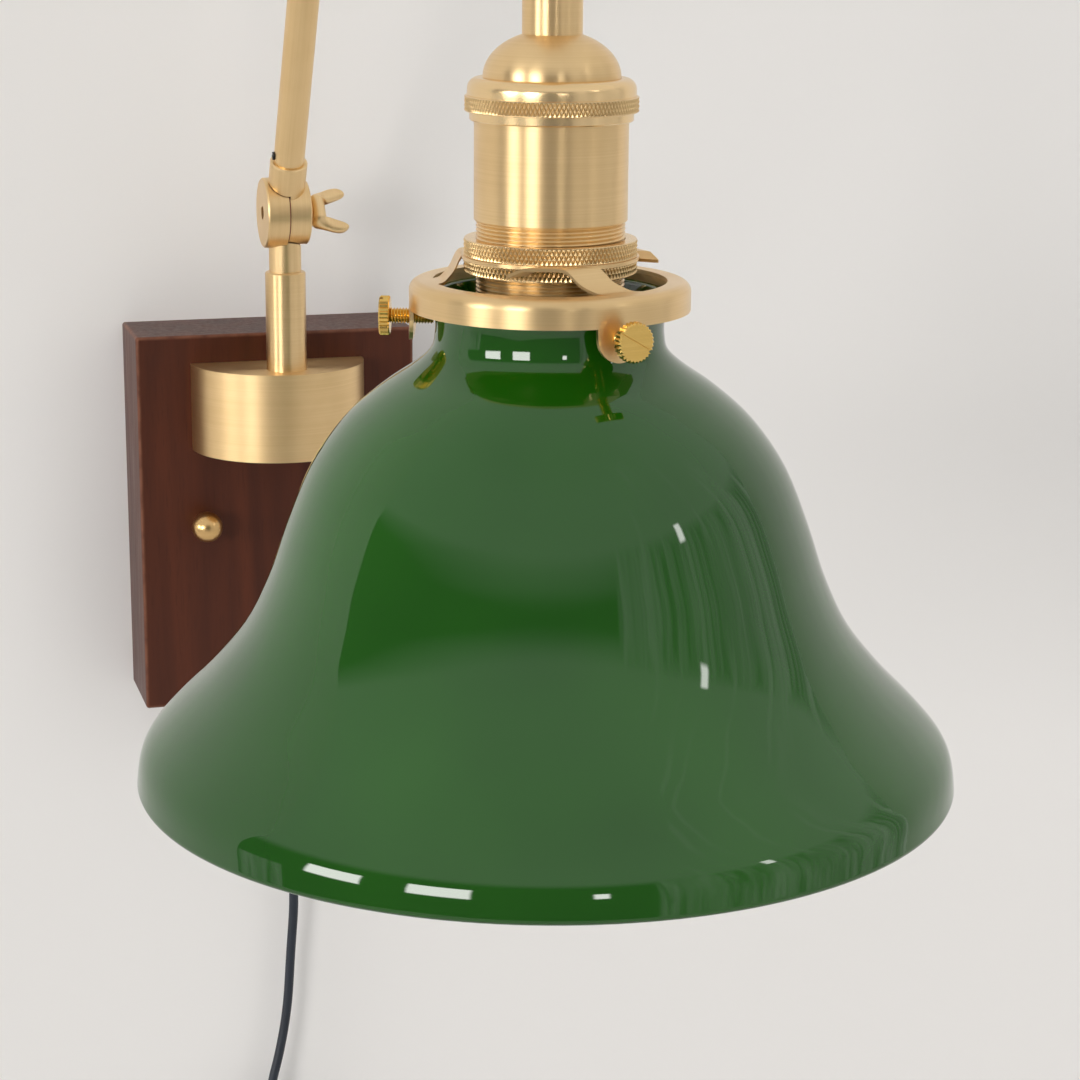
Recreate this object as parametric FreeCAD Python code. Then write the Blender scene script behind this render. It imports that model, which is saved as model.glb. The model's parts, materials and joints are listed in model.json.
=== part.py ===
"""A plug-in wall light: a wooden block with a half-round brass drum, a post with a swivelling and
tilting knuckle, a gooseneck tube, a threaded lampholder with a three-armed gallery, and a bell shade
of green glass held by three thumb screws.

Millimetres. The wall is the plane Y = 0 and the light stands out from it towards -Y. Z is up and X is
to the right of someone who faces the wall. The origin is the middle of the wall bracket's back face.
"""

import FreeCAD, Part
import os
from math import acos, asin, ceil, cos, degrees, pi, radians, sin, sqrt, tan

V = FreeCAD.Vector
X, Y, Z = V(1, 0, 0), V(0, 1, 0), V(0, 0, 1)

# --- Clearances and fits -------------------------------------------------------------------------
RUNNING = 0.05          # radial, between a turning part and its hole
FREE = 0.4              # between parts that pass each other while they move
BOLT_CLEAR = 0.4        # radial, a screw in a clearance hole
TIP_GAP = 0.15          # screw tip to what it bears on
EMBED = 0.5             # how far parts of one solid run into each other, and slack in edge searches
SLOT_W, SLOT_D = 0.7, 0.9                   # driver slot in the small screws
BREAK = 0.5             # small chamfer on turned brass

# --- Wooden block --------------------------------------------------------------------------------
BLOCK_W, BLOCK_H, BLOCK_T = 110.0, 150.0, 38.0
BLOCK_WALL = 12.0       # rim round the pocket in the back
BLOCK_FRONT = 12.0      # wood in front of the pocket
BLOCK_EDGE = 1.2        # eased edges
POCKET_CORNER = 5.0

# --- Wall bracket and its studs ------------------------------------------------------------------
BRACKET_T = 2.5
BRACKET_H = 16.0
BRACKET_FLAT = 38.0     # length of the middle that lies on the wall
BRACKET_RAMP = 4.0
BRACKET_RISE = 4.0
BRACKET_LEN = 80.0
WALL_HOLE_R, WALL_HOLE_PITCH = 2.3, 22.0
STUD_R, STUD_PITCH = 2.0, 60.0
STUD_HEAD_R, STUD_HEAD_H = 3.8, 2.8
STUD_TIP = 7.5          # how far a stud reaches past the face of the block
LOCKNUT_AF, LOCKNUT_H = 7.0, 3.2
BALL_R, BALL_FOOT_R, BALL_FOOT_H = 6.0, 3.8, 1.4

# --- Half-round drum -----------------------------------------------------------------------------
DRUM_R, DRUM_H, DRUM_WALL = 34.0, 34.0, 1.4
DRUM_DROP = 11.0        # from the block's top to the drum's top
DRUM_LUG_X, DRUM_LUG = 24.0, 8.0
DRUM_SCREW_R, DRUM_SCREW_HEAD_R, DRUM_SCREW_HEAD_H = 1.7, 3.4, 2.2
CABLE_HOLE_R, CABLE_HOLE_UP = 4.5, 13.0     # its height above the drum's bottom

# --- Post and swivel -----------------------------------------------------------------------------
POST_OUT = 20.2         # post axis in front of the block's face
SLEEVE_R, SLEEVE_H, SLEEVE_FLOOR = 7.7, 37.8, 6.0
NECK_R = 6.1
WIRE_BORE_R = 3.3
SPIGOT_R, SPIGOT_LEN = 5.0, 11.5            # threaded end under the drum's top
POST_WASHER_R, POST_WASHER_H = 8.5, 1.0
POST_NUT_AF, POST_NUT_H = 14.0, 4.0
SET_SCREW_R, SET_SCREW_UP = 1.5, 14.0       # height above the drum's top
SET_SCREW_PROUD = 0.4
GROOVE_DEEP = 1.1
SWIVEL_RANGE, SWIVEL_SPARE = 80.0, 2.0      # degrees each way, and beyond that in the groove

# --- Knuckle -------------------------------------------------------------------------------------
KNUCKLE_UP = 60.3       # knuckle axis above the drum's top
KNUCKLE_R, KNUCKLE_ARM_R = 13.2, 12.2
KNUCKLE_HALF = 8.4      # each half's length along the axis
KNUCKLE_WALL = 2.2
CAVITY_R, BOSS_R = 9.0, 3.8
FRICTION_T, FRICTION_IN_R = 0.6, 9.4
STUB_R, STUB_LEN = 7.0, 23.0
TUBE_SPIGOT_LEN = 12.0
CLAMP_R = 2.45          # wing screw shank
WING_HUB_R, WING_HUB_LEN = 5.0, 7.6
WING_R, WING_SPREAD, WING_OUT, WING_T, WING_WEB = 2.9, 7.6, 11.9, 2.8, 5.4
WING_TURN = 38.0        # the wings' turn from upright at rest

# --- Gooseneck -----------------------------------------------------------------------------------
LEAN = 27.4             # degrees the arm leans forward from upright
REACH = 349.6           # post axis to lamp axis
BEND_R = 130.0
TUBE_R, TUBE_WALL = 5.75, 1.0
PIN_R, PIN_UP, PIN_PROUD = 1.5, 2.4, 0.6

# --- Lampholder, from the top down ---------------------------------------------------------------
LAMP_TOP_UP = 146.0     # foot of the coupler above the drum's top
COUPLER_R, COUPLER_H, COUPLER_SEAT = 7.5, 36.0, 14.0
NIPPLE_R, NIPPLE_BELOW = 5.0, 5.5
NIPPLE_NUT_AF, NIPPLE_NUT_H = 12.5, 3.0
DOME_R, DOME_H, DOME_WALL = 17.15, 10.4, 1.0
DOME_FLANGE_R, DOME_FLANGE_T = 18.9, 1.4
COLLAR_R, COLLAR_BAND_R, COLLAR_LIP_R = 21.0, 21.7, 20.4
COLLAR_TOP_H, COLLAR_BAND_H, COLLAR_LIP_H = 4.4, 3.9, 2.2
COLLAR_TOP_T, COLLAR_ROUND = 1.5, 2.8
SHELL_R, SHELL_WALL, SHELL_PLAIN = 19.25, 1.35, 24.8
THREAD_R, THREAD_LEN = 18.75, 21.0
NUT_BELOW = 4.3         # smooth shell's end to the upper nut's top
NUT_R, UPPER_NUT_H, LOWER_NUT_H, NUT_BREAK = 21.8, 4.3, 3.3, 0.35
CORE_R, CORE_FLANGE_T, CORE_LEN, CORE_ROOF = 17.7, 1.6, 46.0, 14.0
SCREW_SLEEVE_R, SCREW_SLEEVE_WALL, SCREW_SLEEVE_LEN = 14.3, 0.8, 29.0
CORE_SCREW_R, CORE_SCREW_X, CORE_SCREW_LEN = 1.5, 10.0, 8.0
CORE_HEAD_R, CORE_HEAD_H = 2.6, 1.8
CONTACT_BUTTON_R, CONTACT_H, CONTACT_T, CONTACT_W, CONTACT_TAIL = 3.0, 1.3, 0.5, 6.0, 11.0

# --- Gallery and thumb screws --------------------------------------------------------------------
SPIDER_T, SPIDER_R = 0.8, 22.3
ARM_INNER, ARM_OUTER, ARM_END = 19.0, 25.4, 32.0
ARM_TAIL, ARM_TAIL_LEN, ARM_TAIL_DROP = 6.6, 4.0, 1.6      # the drooping back end of each strap
ARM_SKEW = 1.25         # how far the folds run back for each millimetre outwards
ARM_BEND = [(1.6, 0.0), (6.6, -3.2), (10.6, -5.6)]         # (along, drop) down its outer edge
ARM_FOOT = 13.6
RING_BELOW = 5.4        # spider's underside to the ring's top
RING_R, RING_HOLE_R, RING_H, RING_T, RING_ROUND = 35.5, 29.5, 7.2, 1.0, 2.6
TAB_W, TAB_BELOW = 12.0, 8.5
TAB_ANGLE = -77.8       # first tab, degrees from +X about the lamp axis
ARM_FROM_TAB = -29.0
SCREW_COUNT = 3
THUMB_R, THUMB_H, THUMB_STANDOFF = 5.0, 2.7, 4.8
THUMB_SHANK_R, THUMB_BELOW = 2.0, 2.5       # axis below the ring's bottom edge
THUMB_SLOT_W, THUMB_SLOT_D = 1.0, 0.9
THUMB_TURN, THUMB_TURN_STEP = -30.0, 50.0   # degrees that each slot is turned at rest

# --- Glass shade: outer half-section from the rim up, (radius, height above the rim) ---------------
SHADE_GAP = 0.8         # glass lip below the ring's flange
SHADE_WALL = 3.0
SHADE_OUTLINE = [
    (106.6, 0.0), (104.9, 9.0), (98.6, 17.0), (88.0, 27.8), (78.2, 40.2), (71.6, 53.8),
    (66.8, 67.6), (60.6, 82.4), (52.2, 94.2), (43.0, 102.4), (34.6, 108.2), (30.1, 112.4),
    (29.0, 116.4), (29.0, 120.6), (29.7, 123.0), (30.6, 125.2),
]
SHADE_NECK_R = 29.0
SHADE_LIP_H = 1.6

# --- Bulb ----------------------------------------------------------------------------------------
BULB_R, BULB_LEN = 30.0, 108.0
BULB_CAP_R, BULB_CAP_LEN = 13.2, 22.0
BULB_GLASS_WALL = 0.8
BULB_TIP_R, BULB_TIP_H, BULB_INSULATOR_H = 4.8, 1.3, 2.6
FILAMENT_R, FILAMENT_RING_R, FILAMENT_LEN, FILAMENT_COUNT = 1.0, 7.0, 34.0, 4
CROWN_R = 8.6           # disc that the filament rods hang from
STEM_R, STEM_TIP_R, STEM_LEN = 3.4, 0.9, 14.0
BULB_SOCKET = 8.0       # how far the glass neck goes up into the cap

# --- Cord and what is on it ------------------------------------------------------------------------
CORD_R = 2.0
LEAD_R, LEAD_BEND = 2.5, 10.0
EXIT_Y = -BLOCK_T / 2
GROMMET_R, GROMMET_FLANGE_R, GROMMET_FLANGE_H = 4.0, 6.0, 4.0
TERMINAL_W, TERMINAL_T, TERMINAL_H = 16.0, 13.0, 20.0
TERMINAL_ABOVE = 19.0   # terminal block's foot above the pocket's floor
CLAMP_W, CLAMP_T, CLAMP_H, CLAMP_ABOVE = 20.0, 12.0, 8.0, 6.0
SWITCH_W, SWITCH_T, SWITCH_H = 22.0, 15.0, 50.0
ROCKER_W, ROCKER_LEN, ROCKER_TILT = 9.0, 14.0, 8.0
ROCKER_IN = 1.5         # rocker axis inside the case's face
ROCKER_OUT, ROCKER_DIP, ROCKER_SIDE, ROCKER_DEEP = 2.6, 1.3, 1.2, 2.8
ROCKER_PIN_R, ROCKER_PIN_LEN = 1.0, 1.2
ROCKER_GAP, WELL_DEEP = 0.3, 6.2
PLUG_W, PLUG_T, PLUG_H = 26.0, 16.0, 34.0
BLADE_W, BLADE_T, BLADE_LEN, BLADE_PITCH = 6.3, 1.5, 17.5, 12.7

# The cord's free stretches, point by point, as it hangs close to the wall. The tail's points are
# counted from where the coil lets go of the cord.
CORD_UPPER = [
    V(0, EXIT_Y, -79), V(0, EXIT_Y, -97), V(3, -15.5, -121), V(7.5, -11.5, -147), V(9.3, -9, -173),
    V(7.2, -8, -200), V(5.6, -8.2, -224), V(1.5, -9, -245), V(-3, -10, -260), V(-3, -10, -270),
]
CORD_MIDDLE = [V(-3, -10, -320), V(-3, -10, -331), V(-6, -7.2, -342), V(-11.25, -7.2, -351.093)]
CORD_TAIL = [V(0, 0, 0), V(4.65, 0, -9.97), V(7.25, 4.5, -21.87), V(7.25, 4.5, -32.87)]

# The coil, wound about an axis along Y, counter-clockwise as seen from the room.
COIL_OUTER_R = 28.5     # centreline radius of the outermost turn
COIL_STEP = 5.6         # radius lost in one turn
COIL_LAYER = 4.8        # layer to layer, out from the wall
COIL_LAYERS = 4
COIL_START, COIL_END = 150.0, 205.0         # degrees where the cord enters and leaves
COIL_FULL_TURNS = 10
TIE_W, TIE_T, TIE_SLACK, TIE_ANGLES = 6.0, 0.8, 0.3, (20.0, 285.0)

# --- Places that follow from the sizes -------------------------------------------------------------
FACE_Y = -BLOCK_T
POCKET_Y = -(BLOCK_T - BLOCK_FRONT)
DRUM_TOP = BLOCK_H / 2 - DRUM_DROP
DRUM_BOTTOM = DRUM_TOP - DRUM_H
CABLE_HOLE_Z = DRUM_BOTTOM + CABLE_HOLE_UP
POST_Y = FACE_Y - POST_OUT
SLEEVE_TOP = DRUM_TOP + SLEEVE_H
NECK_BOTTOM = DRUM_TOP + SLEEVE_FLOOR + RUNNING
KNUCKLE_Z = DRUM_TOP + KNUCKLE_UP
KNUCKLE = V(0, POST_Y, KNUCKLE_Z)
ARM_X = FRICTION_T / 2 + RUNNING            # where the arm's half of the knuckle starts

LAMP_Y = POST_Y - REACH
LAMP_TOP = DRUM_TOP + LAMP_TOP_UP
DOME_BOTTOM = LAMP_TOP - DOME_H
COLLAR_BOTTOM = DOME_BOTTOM - COLLAR_TOP_H - COLLAR_BAND_H - COLLAR_LIP_H
FLANGE_TOP = DOME_BOTTOM - COLLAR_TOP_T
CORE_TOP = FLANGE_TOP - DOME_FLANGE_T
SHELL_TOP = CORE_TOP - CORE_FLANGE_T
THREAD_TOP = COLLAR_BOTTOM - SHELL_PLAIN
THREAD_BOTTOM = THREAD_TOP - THREAD_LEN
UPPER_NUT_TOP = THREAD_TOP - NUT_BELOW
SPIDER_TOP = UPPER_NUT_TOP - UPPER_NUT_H
SPIDER_BOTTOM = SPIDER_TOP - SPIDER_T
RING_TOP = SPIDER_BOTTOM - RING_BELOW
RING_BOTTOM = RING_TOP - RING_H
THUMB_Z = RING_BOTTOM - THUMB_BELOW
LIP_TOP = RING_TOP - RING_T - SHADE_GAP
SHADE_TOP_R = SHADE_OUTLINE[-1][0]
RIM_Z = LIP_TOP - SHADE_LIP_H - SHADE_OUTLINE[-1][1]
CONTACT_Z = CORE_TOP - CORE_ROOF            # roof of the lampholder's well
BULB_TOP = CONTACT_Z - CONTACT_H

STRAIGHT = (REACH - BEND_R * (1 + cos(radians(LEAN)))) / sin(radians(LEAN))
TUBE_END_Z = LAMP_TOP + COUPLER_SEAT


# --- Helpers -----------------------------------------------------------------------------------------
def save(name, shape):
    """Writes one node as a STEP file."""
    shape.exportStep(os.path.join("parts", name + ".step"))


def rod(radius, start, end):
    """A round bar from one point to another."""
    return Part.makeCylinder(radius, (end - start).Length, start, end - start)


def ring(outer, inner, bottom, top, centre=V(0, 0, 0)):
    """A tube about the vertical through centre."""
    low, high = centre + V(0, 0, bottom), centre + V(0, 0, top)
    return rod(outer, low, high).cut(rod(inner, low - Z, high + Z))


def block(x0, x1, y0, y1, z0, z1):
    """A box between two corners, in any order."""
    low = V(min(x0, x1), min(y0, y1), min(z0, z1))
    return Part.makeBox(abs(x1 - x0), abs(y1 - y0), abs(z1 - z0), low)


def hexagon(across_flats, start, end):
    """A hexagonal bar from one point to another."""
    corner = across_flats / sqrt(3)
    axis = (end - start).normalize()
    side = axis.cross(X if abs(axis.dot(X)) < 0.9 else Y).normalize()
    other = axis.cross(side)
    points = [start + side * corner * cos(k * pi / 3) + other * corner * sin(k * pi / 3) for k in range(7)]
    return Part.Face(Part.makePolygon(points)).extrude(end - start)


def turned(points, centre):
    """A solid of revolution about the vertical through centre, from (radius, height) points."""
    wire = Part.makePolygon([V(r, 0, z) for r, z in points + points[:1]])
    solid = Part.Face(wire).revolve(V(0, 0, 0), Z, 360)
    solid.translate(centre)
    return solid


def turned_edges(edges, centre):
    """A solid of revolution about the vertical through centre, from edges in the XZ plane."""
    solid = Part.Face(Part.Wire(edges)).revolve(V(0, 0, 0), Z, 360)
    solid.translate(centre)
    return solid


def line(a, b):
    return Part.LineSegment(a, b).toShape()


def arc(a, b, c):
    return Part.Arc(a, b, c).toShape()


def pipe(edges, radius):
    """A solid tube of that radius along a path of tangent edges."""
    first = edges[0]
    start = first.valueAt(first.FirstParameter)
    section = Part.Wire(Part.Circle(start, first.tangentAt(first.FirstParameter), radius).toShape())
    return Part.Wire(edges).makePipeShell([section], True, False)


def route(points):
    """Straight runs joined by tangent arcs, each as large as its two runs allow, and their radii."""
    edges, radii, at = [], [], points[0]
    for before, corner, after in zip(points, points[1:], points[2:]):
        inward, outward = (corner - before), (after - corner)
        setback = 0.45 * min(inward.Length, outward.Length)
        inward.normalize()
        outward.normalize()
        half = acos(max(-1.0, min(1.0, inward.dot(outward)))) / 2
        radius = setback / tan(half)
        middle = (outward - inward).normalize() * (radius / cos(half) - radius)
        first, last = corner - inward * setback, corner + outward * setback
        edges += [line(at, first), arc(first, corner + middle, last)]
        radii.append(radius)
        at = last
    return edges + [line(at, points[-1])], radii


def tangent_arc(start, direction, end):
    """The arc that leaves start along direction and ends at end."""
    chord = end - start
    across = chord - direction * chord.dot(direction)
    radius = chord.Length**2 / (2 * across.Length)
    centre = start + across.normalize() * radius
    middle = ((start - centre) + (end - centre)).normalize() * radius
    return arc(start, centre + middle, end)


def biarc(start, leaving, end, arriving):
    """Two tangent arcs from start to end, with the given unit directions at both."""
    chord, total = end - start, leaving + arriving
    a, b = 2 * (1 - leaving.dot(arriving)), chord.dot(total)
    reach = (sqrt(b * b + a * chord.Length**2) - b) / a
    joint = (start + end + (leaving - arriving) * reach) / 2
    middle = ((end - arriving * reach) - (start + leaving * reach)).normalize()
    return [tangent_arc(start, leaving, joint), tangent_arc(joint, middle, end)]


def about(angle, centre=V(0, LAMP_Y, 0)):
    """Turns a shape made along +X about the vertical through centre."""
    def turn(shape):
        made = shape.copy()
        made.translate(centre)
        made.rotate(centre, Z, angle)
        return made
    return turn


# --- Block, bracket and studs ------------------------------------------------------------------------
def wood_backplate():
    body = block(-BLOCK_W / 2, BLOCK_W / 2, FACE_Y, 0, -BLOCK_H / 2, BLOCK_H / 2)
    eased = [e for e in body.Edges if e.BoundBox.YMin < -EMBED]
    body = body.makeFillet(BLOCK_EDGE, eased)
    inner_w, inner_h = BLOCK_W / 2 - BLOCK_WALL, BLOCK_H / 2 - BLOCK_WALL
    pocket = block(-inner_w, inner_w, POCKET_Y, EMBED, -inner_h, inner_h)
    upright = [e for e in pocket.Edges if e.BoundBox.YLength > BLOCK_FRONT and e.BoundBox.XLength < 1]
    pocket = pocket.makeFillet(POCKET_CORNER, upright)
    body = body.cut(pocket)
    for side in (-1, 1):
        stud = V(side * STUD_PITCH / 2, 0, 0)
        body = body.cut(rod(STUD_R + BOLT_CLEAR, stud, stud + Y * (FACE_Y - 1)))
        screw = V(side * DRUM_LUG_X, 0, (DRUM_TOP + DRUM_BOTTOM) / 2)
        body = body.cut(rod(DRUM_SCREW_R + RUNNING, screw, screw + Y * (FACE_Y - 1)))
    hole = V(0, 0, CABLE_HOLE_Z)
    body = body.cut(rod(CABLE_HOLE_R, hole, hole + Y * (FACE_Y - 1)))
    exit_hole = V(0, EXIT_Y, -BLOCK_H / 2)
    return body.cut(rod(GROMMET_R, exit_hole - Z, exit_hole + Z * (BLOCK_WALL + 1)))


def wall_bracket():
    flat, ramp, end = BRACKET_FLAT / 2, BRACKET_FLAT / 2 + BRACKET_RAMP, BRACKET_LEN / 2
    back = [(-end, -BRACKET_RISE), (-ramp, -BRACKET_RISE), (-flat, 0), (flat, 0),
            (ramp, -BRACKET_RISE), (end, -BRACKET_RISE)]
    outline = back + [(x, y - BRACKET_T) for x, y in reversed(back)]
    points = [V(x, y, -BRACKET_H / 2) for x, y in outline + outline[:1]]
    strip = Part.Face(Part.makePolygon(points)).extrude(Z * BRACKET_H)
    for side in (-1, 1):
        for at, radius in ((WALL_HOLE_PITCH / 2, WALL_HOLE_R), (STUD_PITCH / 2, STUD_R)):
            hole = V(side * at, 0, 0)
            strip = strip.cut(rod(radius, hole + Y, hole - Y * (BRACKET_RISE + BRACKET_T + 1)))
    return strip


def bracket_studs():
    solids = []
    for side in (-1, 1):
        seat = V(side * STUD_PITCH / 2, -BRACKET_RISE, 0)
        head = rod(STUD_HEAD_R, seat + Y * STUD_HEAD_H, seat)
        top = seat.y + STUD_HEAD_H
        slot = block(seat.x - STUD_HEAD_R, seat.x + STUD_HEAD_R, top - SLOT_D, top + SLOT_D,
                     -SLOT_W / 2, SLOT_W / 2)
        tip = V(seat.x, FACE_Y - STUD_TIP, 0)
        solids.append(head.cut(slot).fuse(rod(STUD_R, seat, tip)).removeSplitter())
    return Part.makeCompound(solids)


def bracket_locknuts():
    solids = []
    for side in (-1, 1):
        seat = V(side * STUD_PITCH / 2, -BRACKET_RISE - BRACKET_T, 0)
        nut = hexagon(LOCKNUT_AF, seat, seat - Y * LOCKNUT_H)
        solids.append(nut.cut(rod(STUD_R, seat + Y, seat - Y * (LOCKNUT_H + 1))))
    return Part.makeCompound(solids)


def ball_nuts():
    solids = []
    for side in (-1, 1):
        seat = V(side * STUD_PITCH / 2, FACE_Y, 0)
        ball = Part.makeSphere(BALL_R, seat - Y * (BALL_FOOT_H + BALL_R - EMBED))
        foot = rod(BALL_FOOT_R, seat, seat - Y * (BALL_FOOT_H + 1))
        solids.append(ball.fuse(foot).cut(rod(STUD_R, seat + Y, seat - Y * STUD_TIP)).removeSplitter())
    return Part.makeCompound(solids)


# --- Drum and post -----------------------------------------------------------------------------------
def drum_cover():
    foot = V(0, FACE_Y, DRUM_BOTTOM)
    body = Part.makeCylinder(DRUM_R, DRUM_H, foot, Z, 180)
    hollow = Part.makeCylinder(DRUM_R - DRUM_WALL, DRUM_H - 2 * DRUM_WALL, foot + Z * DRUM_WALL, Z, 180)
    for half in (body, hollow):
        half.rotate(foot, Z, 180)
    body = body.cut(hollow)
    inside = Part.makeCylinder(DRUM_R - DRUM_WALL / 2, DRUM_H, foot, Z, 180)
    inside.rotate(foot, Z, 180)
    middle = (DRUM_TOP + DRUM_BOTTOM) / 2
    for side in (-1, 1):
        lug = block(side * (DRUM_LUG_X - DRUM_LUG / 2), side * DRUM_R, FACE_Y, FACE_Y - DRUM_LUG / 2,
                    middle - DRUM_LUG / 2, middle + DRUM_LUG / 2)
        at = V(side * DRUM_LUG_X, FACE_Y, middle)
        body = body.fuse(lug.common(inside)).cut(rod(DRUM_SCREW_R, at + Y, at - Y * DRUM_LUG))
    post = V(0, POST_Y, DRUM_TOP)
    return body.cut(rod(SPIGOT_R, post + Z, post - Z * (DRUM_WALL + 1))).removeSplitter()


def drum_screws():
    solids = []
    for side in (-1, 1):
        seat = V(side * DRUM_LUG_X, POCKET_Y, (DRUM_TOP + DRUM_BOTTOM) / 2)
        head = rod(DRUM_SCREW_HEAD_R, seat + Y * DRUM_SCREW_HEAD_H, seat)
        shank = rod(DRUM_SCREW_R, seat, V(seat.x, FACE_Y - DRUM_LUG / 2, seat.z))
        solids.append(head.fuse(shank).removeSplitter())
    return Part.makeCompound(solids)


def post_sleeve():
    foot = V(0, POST_Y, DRUM_TOP)
    body = rod(SLEEVE_R, foot, foot + Z * SLEEVE_H)
    body = body.makeChamfer(BREAK, [e for e in body.Edges if e.BoundBox.ZMin > SLEEVE_TOP - EMBED])
    body = body.fuse(rod(SPIGOT_R, foot, foot - Z * SPIGOT_LEN))
    body = body.cut(rod(NECK_R + RUNNING, foot + Z * SLEEVE_FLOOR, foot + Z * (SLEEVE_H + 1)))
    body = body.cut(rod(WIRE_BORE_R, foot - Z * (SPIGOT_LEN + 1), foot + Z * (SLEEVE_FLOOR + 1)))
    screw = foot + Z * SET_SCREW_UP
    return body.cut(rod(SET_SCREW_R, screw, screw + Y * (SLEEVE_R + 1))).removeSplitter()


def swivel_set_screw():
    at = V(0, POST_Y, DRUM_TOP + SET_SCREW_UP)
    tip = NECK_R - GROOVE_DEEP + TIP_GAP
    return rod(SET_SCREW_R, at + Y * tip, at + Y * (SLEEVE_R + SET_SCREW_PROUD))


def post_washer():
    under = V(0, POST_Y, DRUM_TOP - DRUM_WALL)
    return ring(POST_WASHER_R, SPIGOT_R, -POST_WASHER_H, 0, under)


def post_nut():
    top = V(0, POST_Y, DRUM_TOP - DRUM_WALL - POST_WASHER_H)
    nut = hexagon(POST_NUT_AF, top, top - Z * POST_NUT_H)
    return nut.cut(rod(SPIGOT_R, top + Z, top - Z * (POST_NUT_H + 1)))


# --- Knuckle -----------------------------------------------------------------------------------------
def across(radius, x0, x1, centre=KNUCKLE):
    """A bar along the tilt axis."""
    return rod(radius, centre + X * x0, centre + X * x1)


def knuckle_base():
    foot = V(0, POST_Y, NECK_BOTTOM)
    neck = rod(NECK_R, foot, KNUCKLE)
    groove_z = DRUM_TOP + SET_SCREW_UP
    tall = 2 * SET_SCREW_R + FREE
    half_turn = SWIVEL_RANGE + degrees(asin(SET_SCREW_R / (NECK_R - GROOVE_DEEP)))
    half_turn += SWIVEL_SPARE
    groove = Part.makeCylinder(NECK_R + 1, tall, V(0, POST_Y, groove_z - tall / 2), Z, 2 * half_turn)
    groove.rotate(KNUCKLE, Z, 90 - half_turn)
    groove = groove.cut(rod(NECK_R - GROOVE_DEEP, foot, KNUCKLE))
    neck = neck.cut(groove).cut(across(KNUCKLE_ARM_R + FREE, -FRICTION_T / 2, KNUCKLE_HALF + 1))
    disc = across(KNUCKLE_R, -KNUCKLE_HALF, -FRICTION_T / 2)
    disc = disc.makeChamfer(BREAK, [e for e in disc.Edges if e.BoundBox.XMax < -KNUCKLE_HALF + EMBED])
    cavity = across(CAVITY_R, -KNUCKLE_HALF + KNUCKLE_WALL, 0).cut(across(BOSS_R, -KNUCKLE_HALF, 1))
    body = disc.fuse(neck).cut(cavity).cut(across(CLAMP_R + RUNNING, -KNUCKLE_HALF - 1, 1))
    bore = rod(WIRE_BORE_R, foot - Z, V(0, POST_Y, KNUCKLE_Z - BOSS_R - 1))
    keep = across(BOSS_R, -KNUCKLE_HALF, KNUCKLE_HALF)
    body = body.cut(bore.cut(keep))
    return body.removeSplitter()


def friction_washer():
    outer = across(KNUCKLE_ARM_R, -FRICTION_T / 2, FRICTION_T / 2)
    return outer.cut(across(FRICTION_IN_R, -FRICTION_T, FRICTION_T))


def leaned(shape):
    """Leans a shape made upright on the knuckle to the arm's angle."""
    made = shape.copy()
    made.rotate(KNUCKLE, X, LEAN)
    return made


def knuckle_arm():
    stub = rod(STUB_R, KNUCKLE, KNUCKLE + Z * STUB_LEN)
    rim = [e for e in stub.Edges if e.BoundBox.ZMin > KNUCKLE_Z + STUB_LEN - EMBED]
    stub = stub.makeChamfer(BREAK, rim)
    stub = stub.cut(across(KNUCKLE_R + FREE, -KNUCKLE_HALF, ARM_X))
    disc = across(KNUCKLE_ARM_R, ARM_X, KNUCKLE_HALF)
    disc = disc.makeChamfer(BREAK, [e for e in disc.Edges if e.BoundBox.XMin > KNUCKLE_HALF - EMBED])
    cavity = across(CAVITY_R, 0, KNUCKLE_HALF - KNUCKLE_WALL).cut(across(BOSS_R, -1, KNUCKLE_HALF))
    spigot = rod(TUBE_R - TUBE_WALL, KNUCKLE + Z * STUB_LEN, KNUCKLE + Z * (STUB_LEN + TUBE_SPIGOT_LEN))
    bore = rod(WIRE_BORE_R, KNUCKLE + Z * (BOSS_R + 1), KNUCKLE + Z * (STUB_LEN + TUBE_SPIGOT_LEN + 1))
    body = disc.fuse(stub).fuse(spigot).cut(cavity).cut(bore)
    body = body.cut(across(CLAMP_R + RUNNING, -1, KNUCKLE_HALF + 1))
    return leaned(body.cut(pin_rod()).removeSplitter())


def pin_rod():
    at = KNUCKLE + Z * (STUB_LEN + PIN_UP)
    return rod(PIN_R, at - X * (WIRE_BORE_R + TIP_GAP), at - X * (TUBE_R + PIN_PROUD))


def tube_pin():
    at = KNUCKLE + Z * (STUB_LEN + PIN_UP) - X * (TUBE_R + PIN_PROUD)
    slot = block(at.x - SLOT_D, at.x + SLOT_D, at.y - 2 * PIN_R, at.y + 2 * PIN_R,
                 at.z - SLOT_W / 2, at.z + SLOT_W / 2)
    return leaned(pin_rod().cut(slot))


def wing_screw():
    seat = KNUCKLE_HALF
    shank = across(CLAMP_R, -KNUCKLE_HALF + 1, seat + 1)
    hub = across(WING_HUB_R, seat + RUNNING, seat + WING_HUB_LEN)
    body = shank.fuse(hub)
    for side in (-1, 1):
        tip = KNUCKLE + X * (seat + WING_OUT) + Z * side * WING_SPREAD
        root = KNUCKLE + X * (seat + WING_HUB_LEN / 2)
        lobe = rod(WING_R, tip - Y * WING_T / 2, tip + Y * WING_T / 2)
        way = (tip - root).normalize()
        side_way = way.cross(Y) * WING_WEB / 2
        corners = [root + side_way, tip + side_way, tip - side_way, root - side_way]
        web = Part.Face(Part.makePolygon([c - Y * WING_T / 2 for c in corners + corners[:1]]))
        body = body.fuse(lobe).fuse(web.extrude(Y * WING_T))
    body = body.removeSplitter()
    body.rotate(KNUCKLE, X, -WING_TURN)
    return body


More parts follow.
